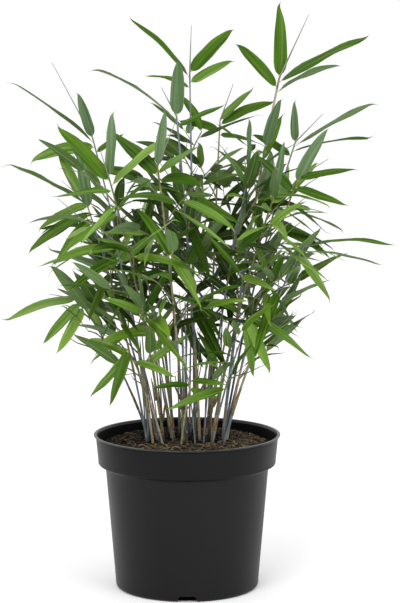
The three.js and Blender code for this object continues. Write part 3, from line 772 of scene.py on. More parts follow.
# Each look by name: its colours from dark to pale, its roughness and its pattern.
FINISHES = {
    "leaf_rib": (((0.062, 0.130, 0.012), (0.108, 0.188, 0.030)), 0.5, dict(scale=90, ior=1.3)),
    "leaf_rib_dark": (((0.032, 0.078, 0.006), (0.060, 0.118, 0.014)), 0.5, dict(scale=90, ior=1.2)),
    "leaf_rib_under": (((0.15, 0.225, 0.075), (0.21, 0.285, 0.11)), 0.6, dict(scale=90, ior=1.3)),
    "leaf_stalk": (((0.26, 0.33, 0.08), (0.38, 0.42, 0.14)), 0.5, dict(scale=120)),
    "leaf_tip": (((0.20, 0.16, 0.12), (0.34, 0.29, 0.23)), 0.7, dict(scale=120)),
    "spear": (((0.10, 0.12, 0.07), (0.20, 0.21, 0.16)), 0.6, dict(scale=80)),
    "cane_bloom": (((0.055, 0.068, 0.078), (0.125, 0.150, 0.165), (0.22, 0.25, 0.265)), 0.62, CANE_GRAIN),
    "cane_olive": (((0.055, 0.065, 0.022), (0.125, 0.130, 0.050), (0.20, 0.19, 0.095)), 0.5, CANE_GRAIN),
    "cane_dusky": (((0.018, 0.018, 0.020), (0.050, 0.050, 0.054), (0.105, 0.105, 0.110)), 0.55, CANE_GRAIN),
    "cane_straw": (((0.15, 0.115, 0.062), (0.27, 0.22, 0.135), (0.38, 0.33, 0.22)), 0.65, STRAW_GRAIN),
    "cane_wax": (((0.17, 0.19, 0.20), (0.32, 0.35, 0.36)), 0.7, dict(scale=120)),
    "cane_node": (((0.035, 0.028, 0.020), (0.10, 0.075, 0.045)), 0.7, dict(scale=150)),
    "sheath": (((0.060, 0.036, 0.014), (0.19, 0.125, 0.058), (0.36, 0.28, 0.17)), 0.75, SHEATH_GRAIN),
    "twig": (((0.075, 0.095, 0.035), (0.15, 0.16, 0.085), (0.22, 0.20, 0.15)), 0.55, dict(scale=60)),
    "pot_plastic": (((0.0022, 0.0022, 0.0026), (0.0042, 0.0042, 0.0047)), 0.44, dict(PLASTIC, ior=1.29)),
    "pot_collar": (((0.0011, 0.0011, 0.0014), (0.0024, 0.0024, 0.0028)), 0.42, dict(PLASTIC, ior=1.26)),
    "pot_lip_highlight": (((0.006, 0.006, 0.0065), (0.030, 0.030, 0.031)), 0.34, WORN_AND_HIGHLIT_PLASTIC),
    # The inside and the notches' cut faces: a darker, duller copy of the black plastic, painted shade.
    "pot_inside_shade": (((0.0012, 0.0012, 0.0012), (0.0032, 0.0030, 0.0027)), 0.7, dict(bump=0.4, ior=1.15)),
    "soil": (((0.002, 0.0014, 0.0008), (0.007, 0.0046, 0.0024), (0.026, 0.018, 0.008)), 0.95, EARTH),
    # Darker compost: painted shade between and behind the canes.
    "soil_deep": (((0.0012, 0.0009, 0.0007), (0.0045, 0.003, 0.002), (0.013, 0.009, 0.005)), 0.95, SHADE_EARTH),
    "flake": (((0.075, 0.052, 0.022), (0.19, 0.145, 0.07)), 0.85, dict(scale=260, bump=0.5)),
    "chip": (((0.007, 0.0045, 0.003), (0.032, 0.019, 0.010)), 0.9, dict(scale=320, bump=0.6)),
    "fibre_dark": (((0.012, 0.007, 0.004), (0.036, 0.022, 0.012)), 0.85, FIBRE_GRAIN),
    "fibre_brown": (((0.050, 0.031, 0.014), (0.12, 0.080, 0.038)), 0.85, FIBRE_GRAIN),
    "fibre_pale": (((0.16, 0.12, 0.06), (0.34, 0.28, 0.16)), 0.85, FIBRE_GRAIN),
}
UPPER_BUMP = 0.35
UNDER = dict(roughness=0.65, bump=0.3, ior=1.25)


def make_looks():
    """Every material, by name."""
    looks = {
        name: finish(name, colors, roughness, **pattern)
        for name, (colors, roughness, pattern) in FINISHES.items()
    }
    for i, (colors, roughness, ior) in enumerate(LEAF_UPPER):
        name = f"leaf_upper_{i}"
        looks[name] = finish(name, colors, roughness, ior, bump=UPPER_BUMP, **STREAKS)
    for i, colors in enumerate(LEAF_UNDER):
        name = f"leaf_under_{i}"
        looks[name] = finish(name, colors, **UNDER, **STREAKS)
    return looks


LOOKS = make_looks()

# ---- Pieces ----


def mesh_of(name, corners, faces):
    """A mesh in metres, of corners in millimetres."""
    mesh = bpy.data.meshes.new(name)
    mesh.from_pydata([corner * MM for corner in corners], [], faces)
    return mesh


def linked(name, data):
    """A new object in the scene."""
    made = bpy.data.objects.new(name, data)
    bpy.context.scene.collection.objects.link(made)
    return made


class Heap:
    """Corners and faces of many small things, joined into one piece with a look for each face."""

    def __init__(self):
        self.corners, self.faces, self.looks, self.order, self.blade = [], [], [], {}, []

    def add(self, corners, faces, look, blade=()):
        """Adds a thing. `look` names one look for all its faces, or is a list with a name for each.
        `blade` is where on a leaf each corner is, as (across, along, the leaf's own number)."""
        start = len(self.corners)
        self.corners += corners
        self.blade += blade
        self.faces += [tuple(start + i for i in face) for face in faces]
        names = look if isinstance(look, list) else [look] * len(faces)
        self.looks += [self.order.setdefault(name, len(self.order)) for name in names]

    def piece(self, name, slot, nodes, sharp=None):
        """The piece that stands for the CAD nodes. Edges that turn by over `sharp` degrees are sharp."""
        mesh = mesh_of(name, self.corners, self.faces)
        for look in self.order:
            mesh.materials.append(LOOKS[look])
        mesh.polygons.foreach_set("material_index", self.looks)
        mesh.polygons.foreach_set("use_smooth", [True] * len(self.faces))
        if sharp:
            mesh.set_sharp_from_angle(angle=radians(sharp))
        if self.blade:
            places = mesh.attributes.new("blade", "FLOAT_VECTOR", "POINT")
            places.data.foreach_set("vector", [value * MM for place in self.blade for value in place])
        mesh.update()
        made = linked(name, mesh)
        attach(made, "root")
        if nodes:
            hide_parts(*nodes)
        return made


# ---- Leaves ----

# A blade's stations along it and the marks across each half, then where its features are, as shares of its
# length or half width. Only stalk_width and tip_width are in millimetres. The hook bends the tip, by the
# square of how far past hook_from a station is.
BLADE = Sizes(
    stations=(
        0, 0.022, 0.045, 0.075, 0.12, 0.19, 0.28, 0.38, 0.48, 0.58, 0.68, 0.77, 0.85, 0.91, 0.95, 0.98, 1,
    ),
    across=(0.045, 0.29, 0.53, 0.77, 1), sharp=70, stalk=0.04, stalk_width=0.5, opens_over=0.12,
    rounding=0.2, shoulder=0.16, tip_from=0.985, tip_width=0.22, dry_tip=0.7, dry_from=0.95,
    hook=7, hook_from=0.9, thickness=0.11, thick=1.2, thinner=0.7, rib=0.28, rib_reach=0.1,
    fold=(0.06, 0.42), curl=0.16, vein=0.035, wave=0.1, waves=(1.2, 2.6), patches=1000,
)
FAN_BLADE = Sizes(widths=(0.95, 1.2), fullness=(2.6, 3.7))
TWIG_BLADE = Sizes(widths=(0.72, 1.02), fullness=(1.9, 3.4))
HALF_MARKS = len(BLADE.across)
MARKS = [-mark for mark in reversed(BLADE.across)] + list(BLADE.across)

# The upper tone that a leaf of each growth tone gets high up, in full light, where its darker tone is painted
# shade, and deep inside the clump, where painted shade darkens its underside too. The chance grows upwards or
# inwards over so many millimetres. Some upright leaves get a pale tone of painted sheen.
HIGH_TONES = Sizes(above=390, over=60, tones=(2, 2, 2, 5, 3, 2))
INNER_TONES = Sizes(within=110, over=75, above=245, tones=(5, 2, 7, 7, 3, 7), under=3)
SHEEN_TONE = Sizes(tone=6, upright=0.85, heights=(340, 500), chance=0.8)
# Tones with a darker midrib: 2 and 5 are dark leaves that also serve as painted shade high up, 7 is painted
# shade.
DARK_TONES = (2, 5, 7)


def blade_width(share, fullness, half):
    """Half the leaf's width: a short stalk, a round base, and a long taper to a thread."""
    s = (share - BLADE.stalk) / (1 - BLADE.stalk)
    if s <= 0:
        return BLADE.stalk_width
    base = sqrt(1 - (1 - min(1, s / BLADE.rounding)) ** 2)
    tapered = (s - BLADE.shoulder) / (BLADE.tip_from - BLADE.shoulder)
    taper = 1 - clamp(tapered) ** fullness
    return max(BLADE.stalk_width if s < 0.5 else BLADE.tip_width, half * base * taper)


def leaf_tones(leaf, dice):
    """A leaf's upper and under tone: painted shade deep in the clump, darker painted shade high up in full
    light, now and then a pale painted sheen.
    """
    out = hypot(leaf.point(0.5).x, leaf.point(0.5).y)
    inside = dice.roll() < (INNER_TONES.within - out) / INNER_TONES.over
    full_light = dice.roll() < (leaf.root.z - HIGH_TONES.above) / HIGH_TONES.over
    # The chance that an upright leaf gets the pale tone of painted sheen.
    waxy = dice.roll() < SHEEN_TONE.chance
    under = int(dice.roll() * INNER_TONES.under)
    lowest, highest = SHEEN_TONE.heights
    upright = (leaf.point(1) - leaf.root).normalized().z > SHEEN_TONE.upright
    if waxy and upright and lowest < leaf.root.z < highest:
        return SHEEN_TONE.tone, under
    # High up in full light: a darker tone, painted shade.
    if full_light:
        return HIGH_TONES.tones[leaf.tone], under
    # Deep in the clump: a darker tone of painted shade, on the underside too.
    if inside and leaf.root.z > INNER_TONES.above:
        return INNER_TONES.tones[leaf.tone], INNER_TONES.under
    return leaf.tone, under


def blade_looks(upper, under, dry):
    """A look for each face between two stations after the other, round the upper side and back below."""
    rib = "leaf_rib_dark" if upper in DARK_TONES else "leaf_rib"
    above = [f"leaf_upper_{upper}"] * (2 * HALF_MARKS - 1)
    below = [f"leaf_under_{under}"] * (2 * HALF_MARKS - 1)
    above[HALF_MARKS - 1], below[HALF_MARKS - 1] = rib, "leaf_rib_under"
    looks = []
    for share in BLADE.stations[:-1]:
        if share < BLADE.stalk:
            looks += ["leaf_stalk"] * len(above + below)
        elif dry and share >= BLADE.dry_from:
            looks += ["leaf_tip"] * len(above + below)
        else:
            looks += above + below
    return looks + ["leaf_stalk", "leaf_tip"]


def add_blade(heap, leaf, kind, dice):
    """A thin closed blade with a fold along its midrib, soft veins and a stalk."""
    fullness, fold = dice.between(*kind.fullness), dice.between(*BLADE.fold)
    waves, phases = dice.between(*BLADE.waves), (dice.roll(), dice.roll())
    hook, sideways = dice.swing(BLADE.hook), dice.swing(BLADE.hook)
    widest = leaf.width * dice.between(*kind.widths)
    dry = dice.roll() < BLADE.dry_tip
    upper, under = leaf_tones(leaf, dice)
    patch = dice.roll() * BLADE.patches
    rings, places = [], []
    for share in BLADE.stations:
        normal, side = leaf.frame(share)
        bent = max(0, share - BLADE.hook_from) ** 2 * leaf.length
        middle = leaf.point(share) + (normal * hook + side * sideways) * bent
        half = blade_width(share, fullness, widest / 2)
        flat = smooth((share - BLADE.stalk) / BLADE.opens_over)
        across = [mark * half for mark in MARKS]
        places += [(x, share * leaf.length, patch) for x in across + across[-2:0:-1]]
        above, below = [], []
        for i, mark in enumerate(MARKS):
            reach = abs(mark)
            on_rib = reach < BLADE.rib_reach
            turn = 2 * pi * (waves * share + phases[mark > 0])
            lift = fold * reach - BLADE.curl * reach * reach
            lift += BLADE.wave * reach * reach * sin(turn)
            if not on_rib and reach < 1:
                lift += BLADE.vein * (1 if i % 2 else -1)
            corner = middle + side * half * mark + normal * half * lift * flat
            above.append(corner)
            if reach < 1:
                depth = BLADE.thickness * (BLADE.thick - reach * BLADE.thinner)
                if on_rib:
                    depth += BLADE.rib * (1 - share)
                below.append(corner - normal * min(depth, half))
        rings.append(above + below[::-1])
    corners, faces = skin(rings)
    # The faces below start one corner on, so that both sides of the thin blade split along the same diagonal.
    for start in range(0, len(faces) - 2, len(rings[0])):
        for k in range(start + len(MARKS) - 1, start + len(rings[0])):
            faces[k] = (*faces[k][1:], faces[k][0])
    heap.add(corners, faces, blade_looks(upper, under, dry), places)


# ---- Canes, stems and twigs ----

# Nodes on a cane: how far up the first one is, how the space between them grows, and how the cane swells at
# one, as (distance from the node, factor).
NODES = Sizes(
    first=(8, 18), spacing=(18, 30), uneven=(0.9, 1.1), growth=1.25, longest=55, ringed=0.6, waxy=0.5,
    rings=((-1.4, 1.0), (-0.7, 1.04), (-0.3, 1.1), (0.1, 1.14), (0.4, 1.05), (1.0, 0.98)), ring=0.3, wax=1.2,
)
CANE_LOOKS = [f"cane_{look}" for look in "bloom dusky straw bloom olive dusky bloom straw".split()]
STEM_LOOKS = [f"cane_{look}" for look in "bloom straw olive bloom".split()]
SAME_LOOK = 0.75
CANE_STATIONS = 12
LOWER = Sizes(sides=12, slim=(0.72, 1.05), bare_top=8)
UPPER_SIDES = 10
BARE = Sizes(sides=10, slim=(0.45, 0.85), bare_top=4, tip=1.5)
SHEATH = Sizes(
    chance=0.3, until=0.8, share=(0.6, 1), above_node=0.4, sides=10, steps=7, slant=(4, 11), proud=0.25,
    thinner=0.5, hollow=0.8,
)
SHEATH_BLADE = Sizes(
    chance=0.4, stations=(0, 0.12, 0.3, 0.5, 0.7, 0.88, 1), length=(14, 34), lean=(0.1, 0.5), below_top=1,
    off=0.2, width=0.34, least_width=0.15, foot_width=0.3, fullness=0.8, fold=0.35, thickness=0.1,
)
FINE_TWIG = Sizes(steps=4, sides=7, rounding=0.25, swell=1.25, swell_every=3)


def node_distances(length, dice):
    """How far up a cane its nodes are: close together at the foot, then wider."""
    distances = []
    place, step = dice.between(*NODES.first), dice.between(*NODES.spacing)
    while place < length:
        distances.append(place)
        place += step * dice.between(*NODES.uneven)
        step = min(NODES.longest, step * NODES.growth)
    return distances


def cane_stations(low, high, nodes):
    """Distances up a cane in even steps and round each node, with how much the cane is swollen there."""
    stations = {low + (high - low) * i / CANE_STATIONS: 1.0 for i in range(CANE_STATIONS + 1)}
    for node in nodes:
        for offset, factor in NODES.rings:
            if low < node + offset < high:
                stations[node + offset] = factor
    return sorted(stations.items())


def add_cane(heap, curve, start, end, sides, nodes, looks, dice, slim, tip=None, level_foot=False):
    """A stretch of cane with swollen nodes, waxy below each, and one look to an internode."""
    stations = cane_stations(start * curve.length, end * curve.length, nodes)
    points = [curve.point(place / curve.length) for place, _ in stations]
    radii = [curve.radius(place / curve.length) * swell * slim for place, swell in stations]
    if tip:
        points.append(tip)
        radii.append(STEM.spear_tip)
    main = dice.pick(looks)
    internodes = [main if dice.roll() < SAME_LOOK else dice.pick(looks) for _ in range(len(nodes) + 1)]
    ringed = [dice.roll() < NODES.ringed for _ in range(len(nodes) + 1)]
    waxy = dice.roll() < NODES.waxy
    names = []
    for (low, _), (high, _) in zip(stations, stations[1:]):
        place = (low + high) / 2
        passed = sum(1 for node in nodes if node < place)
        near = min((abs(place - node) for node in nodes), default=inf)
        below = min((node - place for node in nodes if node > place), default=inf)
        if near < NODES.ring and ringed[passed]:
            names.append("cane_node")
        elif below < NODES.wax and ringed[passed] and waxy:
            names.append("cane_wax")
        else:
            names.append(internodes[passed])
    if tip:
        names.append("spear")
    corners, faces = skin([ring_on(points, i, radii[i], sides, level_foot) for i in range(len(points))])
    heap.add(corners, faces, [name for name in names for _ in range(sides)] + [names[0], names[-1]])


def add_sheath(heap, curve, low, high, slim, dice):
    """A papery sheath that wraps a cane from one node towards the next, ending in a slant."""
    sides, steps = SHEATH.sides, SHEATH.steps
    slant = dice.between(*SHEATH.slant)
    turn = dice.turn()
    shares = [mix(low, high, i / steps) / curve.length for i in range(steps + 1)]
    points = [curve.point(share) for share in shares]
    rings = []
    for i, point in enumerate(points):
        along = i / steps
        proud = SHEATH.proud * (1 - SHEATH.thinner * along)
        ring = ring_on(points, i, curve.radius(shares[i]) * slim + proud, sides)
        axis = (points[min(steps, i + 1)] - points[max(0, i - 1)]).normalized()
        rings.append([
            corner - axis * slant * along * along * (0.5 + 0.5 * cos(2 * pi * k / sides + turn))
            for k, corner in enumerate(ring)
        ])
        if i in (0, steps):
            inner = [point + (corner - point) * SHEATH.hollow for corner in rings[-1]]
            rings.insert(0 if i == 0 else len(rings), inner)
    heap.add(*skin(rings), "sheath")


def add_sheath_blade(heap, curve, place, dice):
    """The dry pointed blade that stands off a sheath's top."""
    kind = SHEATH_BLADE
    share = place / curve.length
    root = curve.point(share)
    out = level(dice.turn())
    chord = (curve.tangent(share) + out * dice.between(*kind.lean)).normalized()
    leaf = Leaf((root, root), chord, out, RANK, dice.between(*kind.length), dice)
    off = out * (curve.radius(share) + kind.off)
    rings = []
    for station in kind.stations:
        normal, side = leaf.frame(station)
        bulge = sin(pi * mix(kind.foot_width, 1, station)) ** kind.fullness
        half = max(kind.least_width, leaf.width * kind.width * bulge)
        middle = leaf.point(station) + off
        edges = ((-1, kind.fold), (0, 0), (1, kind.fold))
        above = [middle + side * half * u + normal * half * lift for u, lift in edges]
        rings.append(above + [middle - normal * kind.thickness])
    heap.add(*skin(rings), "sheath")


def add_sheaths(heap, curve, nodes, end, slim, dice):
    for low, high in zip(nodes, nodes[1:]):
        wanted, share = dice.roll() < SHEATH.chance, dice.between(*SHEATH.share)
        blade = dice.roll() < SHEATH_BLADE.chance
        top = mix(low, high, share)
        if wanted and top < min(end, SHEATH.until) * curve.length:
            add_sheath(heap, curve, low + SHEATH.above_node, top, slim, dice)
            if blade:
                add_sheath_blade(heap, curve, top - SHEATH_BLADE.below_top, dice)


def build_canes():
    """The canes below the foliage with their sheaths, the bare shoots, and the stems in the foliage."""
    dice = Dice(SEED.looks)
    heap, shoot_heap, stem_heap = Heap(), Heap(), Heap()
    for cane in canes:
        curve, start = cane.curve, cane.start
        nodes = node_distances(curve.length - LOWER.bare_top, dice)
        slim = dice.between(*LOWER.slim)
        add_cane(heap, curve, 0, start, LOWER.sides, nodes, CANE_LOOKS, dice, slim, level_foot=True)
        add_cane(stem_heap, curve, start, 1, UPPER_SIDES, nodes, STEM_LOOKS, dice, slim, cane.spear_tip)
        add_sheaths(heap, curve, nodes, start, slim, dice)
    for curve in [*shoots, *young_shoots]:
        nodes = node_distances(curve.length - BARE.bare_top, dice)
        tip = curve.tip + curve.tangent(1) * BARE.tip
        slim = dice.between(*BARE.slim)
        add_cane(shoot_heap, curve, 0, 1, BARE.sides, nodes, CANE_LOOKS, dice, slim, tip, level_foot=True)
        add_sheaths(shoot_heap, curve, nodes, 1, slim, dice)
    return heap, shoot_heap, stem_heap


def subdivided(points, radii, steps):
    """A rod's points and radii with a few more between, its bends rounded."""
    fine_points, fine_radii = [], []
    last = len(points) - 1
    for i in range(last):
        before, after = points[max(0, i - 1)], points[min(last, i + 2)]
        bulge = (points[i] + points[i + 1] - before - after) * FINE_TWIG.rounding
        for j in range(steps):
            share = j / steps
            point = points[i].lerp(points[i + 1], share)
            if 0 < i < last - 1:
                point += bulge * share * (1 - share)
            fine_points.append(point)
            fine_radii.append(mix(radii[i], radii[i + 1], share))
    return [*fine_points, points[-1]], [*fine_radii, radii[-1]]


def add_twig(heap, rod, radii, has_spear):
    """A twig with small knots, and at its end a rolled leaf where it has one."""
    sides, steps = FINE_TWIG.sides, FINE_TWIG.steps
    points, radii = subdivided(rod, radii, steps)
    for i in range(1, len(radii), FINE_TWIG.swell_every):
        radii[i] *= FINE_TWIG.swell
    names = ["twig"] * (len(points) - 1)
    if has_spear:
        names[-steps:] = ["spear"] * steps
    corners, faces = rod_solid(points, radii, sides)
    heap.add(corners, faces, [name for name in names for _ in range(sides)] + ["twig", "spear"])


# ---- Putting the foliage together ----

LEAF_GROUPS = 4


def nodes_named(kind, numbers):
    return [f"{kind}_{i + 1:02d}" for i in numbers]


def build_plant():
    cane_heap, shoot_heap, stem_heap = build_canes()
    cane_heap.piece("canes", "cane", nodes_named("cane", range(SPRAYS)))
    shoot_heap.piece("shoots", "cane", nodes_named("shoot", range(SHOOTS)))
    for (twigs, _), (rods, _) in zip(sprays, finer):
        for twig in twigs:
            add_twig(stem_heap, twig.rod, TWIG.radii, twig.has_spear)
        for rod in rods:
            add_twig(stem_heap, rod, TWIGLET.radii, False)
    stem_heap.piece("stems_and_twigs", "cane", nodes_named("spray", range(SPRAYS)))
    dice = Dice(SEED.looks + 1)
    for group in range(LEAF_GROUPS):
        members = range(group, SPRAYS, LEAF_GROUPS)
        heap = Heap()
        for i in members:
            for leaf in fans[i]:
                add_blade(heap, leaf, FAN_BLADE, dice)
            for leaf in [*sprays[i][1], *finer[i][1]]:
                add_blade(heap, leaf, TWIG_BLADE, dice)
        heap.piece(f"leaves_{group + 1}", "foliage", nodes_named("spray", members), sharp=BLADE.sharp)


# ---- Pot ----

POT_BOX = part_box("pot")
RIM_RADIUS, POT_HEIGHT = POT_BOX[1].x / MM, POT_BOX[1].z / MM

# Radii and heights of the shell. The collar's straight side starts `collar_from` above its foot and ends
# `collar_end` below the rim. The neck is so far below the rim, and the lip is a bead on it. An arc is its
# first and last angle in degrees, then its steps.
POT = Sizes(
    segments=192, sharp=50, underside=40, foot=73.2, foot_rounding=4.5, wall=1.6, wall_from=8, wall_steps=12,
    shoulder=83, shoulder_z=124.2, shoulder_step=0.3, collar=90.5, collar_z=127.8, collar_rounding=2.2,
    collar_under=1.2, collar_from=3, collar_steps=5, collar_top=92.5, collar_end=6, neck=2.4, neck_inset=0.1,
    lip=1.3, lip_width=3.2, wall_end=1, look_from=0.5,
    foot_arc=(-90, -4, 8), collar_arc=(-65, 0, 5), lip_arc=(-80, 90, 8), lip_inside_arc=(90, 180, 5),
)
POT_INSIDE = Sizes(collar=2, shoulder=1.5, foot_z=6, floor=2, floor_edge=6)
NOTCH = Sizes(count=4, width=21, top_width=15.5, height=6, depth=9, below=1, corner=(0.6, 1.5))


def arc(x, z, radius, start, end, steps):
    """Points on a round corner, with angles in degrees from +x."""
    angles = [radians(mix(start, end, i / steps)) for i in range(steps + 1)]
    return [(x + radius * cos(angle), z + radius * sin(angle)) for angle in angles]


def straight(start, end, steps):
    return [tuple(mix(a, b, i / steps) for a, b in zip(start, end)) for i in range(steps + 1)]


def pot_profile():
    """From the middle of the underside, up the outside, over the lip and down inside: (radius, z, look)."""
    lip, rounding = POT.lip / 2, POT.foot_rounding
    neck_z = POT_HEIGHT - POT.neck
    wall_ends = (POT.foot, POT.wall_from), (POT.shoulder, POT.shoulder_z - POT.wall_end)
    collar_ends = (
        (POT.collar, POT.collar_z + POT.collar_from), (POT.collar_top, POT_HEIGHT - POT.collar_end))
    collar_corner = POT.collar - POT.collar_rounding, POT.collar_z + POT.collar_under
    outside = [
        (0, 0), (POT.underside, 0),
        *arc(POT.foot - rounding, rounding, rounding, *POT.foot_arc),
        *straight(*wall_ends, POT.wall_steps),
        (POT.shoulder + POT.shoulder_step, POT.shoulder_z),
        *arc(*collar_corner, POT.collar_rounding, *POT.collar_arc),
        *straight(*collar_ends, POT.collar_steps),
        (POT.collar_top - POT.neck_inset, neck_z),
    ]
    # The bead takes the paler lip look: painted highlight.
    bead = [
        *arc(RIM_RADIUS - lip, POT_HEIGHT - lip, lip, *POT.lip_arc),
        *arc(RIM_RADIUS - POT.lip_width + lip, POT_HEIGHT - lip, lip, *POT.lip_inside_arc),
    ]
    inside = [
        (POT.collar_top - POT.wall, neck_z),
        (POT.collar - POT.wall, POT.collar_z + POT_INSIDE.collar),
        (POT.shoulder - POT.wall, POT.shoulder_z + POT_INSIDE.shoulder),
        (POT.foot - POT.wall, POT_INSIDE.foot_z),
        (POT.foot - POT_INSIDE.floor_edge, POT_INSIDE.floor), (0, POT_INSIDE.floor),
    ]
    collar_look_z = POT.shoulder_z - POT.look_from
    return (
        [(radius, z, "pot_collar" if z > collar_look_z else "pot_plastic") for radius, z in outside]
        + [(radius, z, "pot_lip_highlight") for radius, z in bead]
        + [(radius, z, "pot_inside_shade") for radius, z in inside]
    )


def circle(radius, z, segments):
    return [level(2 * pi * k / segments) * radius + UP * z for k in range(segments)]


def turned_faces(rings, segments, downwards=False):
    """The faces over circles of corners, with a corner on the axis before the first and after the last."""
    faces = [(0, 1 + (k + 1) % segments, 1 + k) for k in range(segments)]
    for i in range(rings - 1):
        for k in range(segments):
            a, b = 1 + i * segments + k, 1 + i * segments + (k + 1) % segments
            faces.append((a, b, b + segments, a + segments))
    last = 1 + rings * segments
    outer = last - segments
    faces += [(last, outer + k, outer + (k + 1) % segments) for k in range(segments)]
    return [(face[0], *face[:0:-1]) for face in faces] if downwards else faces


def notch_cutter(turn):
    """A block that narrows upwards, set through the foot of the wall."""
    half, top = NOTCH.width / 2, NOTCH.top_width / 2
    inset, corner_z = NOTCH.corner
    right = ((half, -NOTCH.below), (half - inset, corner_z), (top, NOTCH.height))
    left = [(-x, z) for x, z in reversed(right)]
    outline = (left[2], *right, left[0], left[1])
    out, side = level(turn), level(turn + pi / 2)
    near, far = POT.foot - NOTCH.depth, POT.foot + NOTCH.depth
    rings = [[out * r + side * x + UP * z for x, z in outline] for r in (near, far)]
    mesh = mesh_of("notch", *skin(rings))
    # Its cut faces take the inside's painted shade.
    mesh.materials.append(LOOKS["pot_inside_shade"])
    return linked("notch", mesh)


def build_pot():
    heap = Heap()
    segments = POT.segments
    profile = pot_profile()
    corners = [Vector((0, 0, profile[0][1]))]
    for radius, z, _ in profile[1:-1]:
        corners += circle(radius, z, segments)
    corners.append(Vector((0, 0, profile[-1][1])))
    looks = [look for _, _, look in profile[:-1] for _ in range(segments)]
    heap.add(corners, turned_faces(len(profile) - 2, segments), looks)
    pot = heap.piece("pot_shell", "pot", ["pot"])
    for i in range(NOTCH.count):
        cutter = notch_cutter(2 * pi * i / NOTCH.count)
        cut = pot.modifiers.new("notch", "BOOLEAN")
        cut.object = cutter
        cut.operation = "DIFFERENCE"
        cut.solver = "EXACT"
        cut.material_mode = "TRANSFER"
        evaluated = pot.evaluated_get(bpy.context.evaluated_depsgraph_get())
        mesh = bpy.data.meshes.new_from_object(evaluated)
        pot.modifiers.clear()
        pot.data = mesh
        bpy.data.objects.remove(cutter)
    pot.data.set_sharp_from_angle(angle=radians(POT.sharp))


# ---- Soil ----

SOIL_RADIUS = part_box("soil")[1].x / MM
# The ellipse at shade_at of shade_size bounds the compost's painted shade.
SOIL = Sizes(
    rings=100, crowding=0.85, segments=300, sharp=60, edge_z=145.2, flat=60, crest=1.3,
    mound=2.6, mound_at=(-6, -47), mound_size=(30, 16), bottom=9,
    shade_at=(-16, 12), shade_size=(68, 48), fibres=1700, chips=2200,
)

# The compost's roughness, from lumps to crumbs: (height, waves to the millimetre, layer of the noise).
ROUGHNESS = ((1.5, 0.075, 0), (0.9, 0.24, 90), (0.5, 0.7, 180))

# The compost's hidden side, clear of the pot's wall: (radius, z).
SOIL_SIDE = ((SOIL_RADIUS - 1.2, 130), (POT.shoulder - 2.4, 122), (POT.foot - 2.4, SOIL.bottom))
CHIP = Sizes(
    margin=3, size=(0.5, 1.0), larger=1.4, turn=(0, 6.3), tilt=0.9, sides=6,
    scale=((0.9, 2.0), (0.6, 1.1), (0.35, 0.8)),
    rings=((-0.9, 0.45), (-0.2, 1), (0.5, 0.85), (0.95, 0.35)), uneven=(0.75, 1.15),
    looks=("chip", "soil", "chip", "fibre_dark", "fibre_brown", "flake"),
)
FIBRE = Sizes(
    margin=6, edge=1.5, length=(3, 8), longer=12, step=1.6, fewest=5, curl=0.55, wander=0.5,
    rest=0.1, lift=(0.1, 0.6), higher=2.2, thickness=(0.15, 0.32), thicker=0.25, taper=0.6, sides=4,
    looks=("fibre_dark", "fibre_brown", "fibre_brown", "fibre_pale", "fibre_dark", "flake"),
)

# What each look of a fibre turns to inside the painted shade: a darker look.
SHADED_LOOK = dict(fibre_dark="fibre_dark", fibre_brown="fibre_dark", flake="fibre_brown", fibre_pale="flake")


def away_from(middle, size, x, y):
    """How far a spot is from an ellipse's middle, where 1 is on it."""
    return hypot((x - middle[0]) / size[0], (y - middle[1]) / size[1])


def soil_height(x, y):
    outwards = (hypot(x, y) - SOIL.flat) / (SOIL_RADIUS - SOIL.flat)
    base = mix(SOIL_TOP + SOIL.crest, SOIL.edge_z, smooth(outwards))
    mound = SOIL.mound * exp(-away_from(SOIL.mound_at, SOIL.mound_size, x, y) ** 2)
    rough = sum(size * noise.noise(Vector((x, y, layer)) * scale) for size, scale, layer in ROUGHNESS)
    return base + mound + rough


def in_shade(spot):
    """Between the canes and behind them the compost is darker: painted shade."""
    return away_from(SOIL.shade_at, SOIL.shade_size, spot.x, spot.y) < 1


def build_soil():
    heap = Heap()
    segments = SOIL.segments
    corners = [Vector((0, 0, soil_height(0, 0)))]
    for i in range(1, SOIL.rings + 1):
        for spot in circle(SOIL_RADIUS * (i / SOIL.rings) ** SOIL.crowding, 0, segments):
            corners.append(spot + UP * soil_height(spot.x, spot.y))
    for radius, z in SOIL_SIDE:
        corners += circle(radius, z, segments)
    corners.append(UP * SOIL.bottom)
    faces = turned_faces(SOIL.rings + len(SOIL_SIDE), segments, downwards=True)
    # Faces inside the ellipse take the darker compost of painted shade.
    heap.add(corners, faces, ["soil_deep" if in_shade(corners[face[0]]) else "soil" for face in faces])
    dice = Dice(SEED.looks + 2)
    for _ in range(SOIL.chips):
        add_chip(heap, dice)
    heap.piece("compost", "compost", ["soil"], sharp=SOIL.sharp)
    fibre_heap = Heap()
    for _ in range(SOIL.fibres):
        add_fibre(fibre_heap, dice)
    fibre_heap.piece("root_fibres", "compost", [])


def soil_spot(dice, margin):
    radius = (SOIL_RADIUS - margin) * sqrt(dice.roll())
    spot = level(dice.turn()) * radius
    return Vector((spot.x, spot.y, soil_height(spot.x, spot.y)))


def add_chip(heap, dice):
    """A crumb of bark or peat: a small, rough, closed lump, half sunk in."""
    spot = soil_spot(dice, CHIP.margin)
    size = dice.between(*CHIP.size) + CHIP.larger * dice.roll() ** 3
    turn = Matrix.Rotation(dice.between(*CHIP.turn), 3, "Z") @ Matrix.Rotation(dice.swing(CHIP.tilt), 3, "X")
    scale = Vector([size * dice.between(*limits) for limits in CHIP.scale])
    rings = []
    for height, width in CHIP.rings:
        ring = []
        for k in range(CHIP.sides):
            reach = width * dice.between(*CHIP.uneven)
            corner = level(2 * pi * k / CHIP.sides) * reach + UP * height
            ring.append(spot + turn @ (corner * scale))
        rings.append(ring)
    look = dice.pick(CHIP.looks)
    # A chip in the painted shade takes the darker compost look.
    heap.add(*skin(rings), "soil_deep" if in_shade(spot) else look)


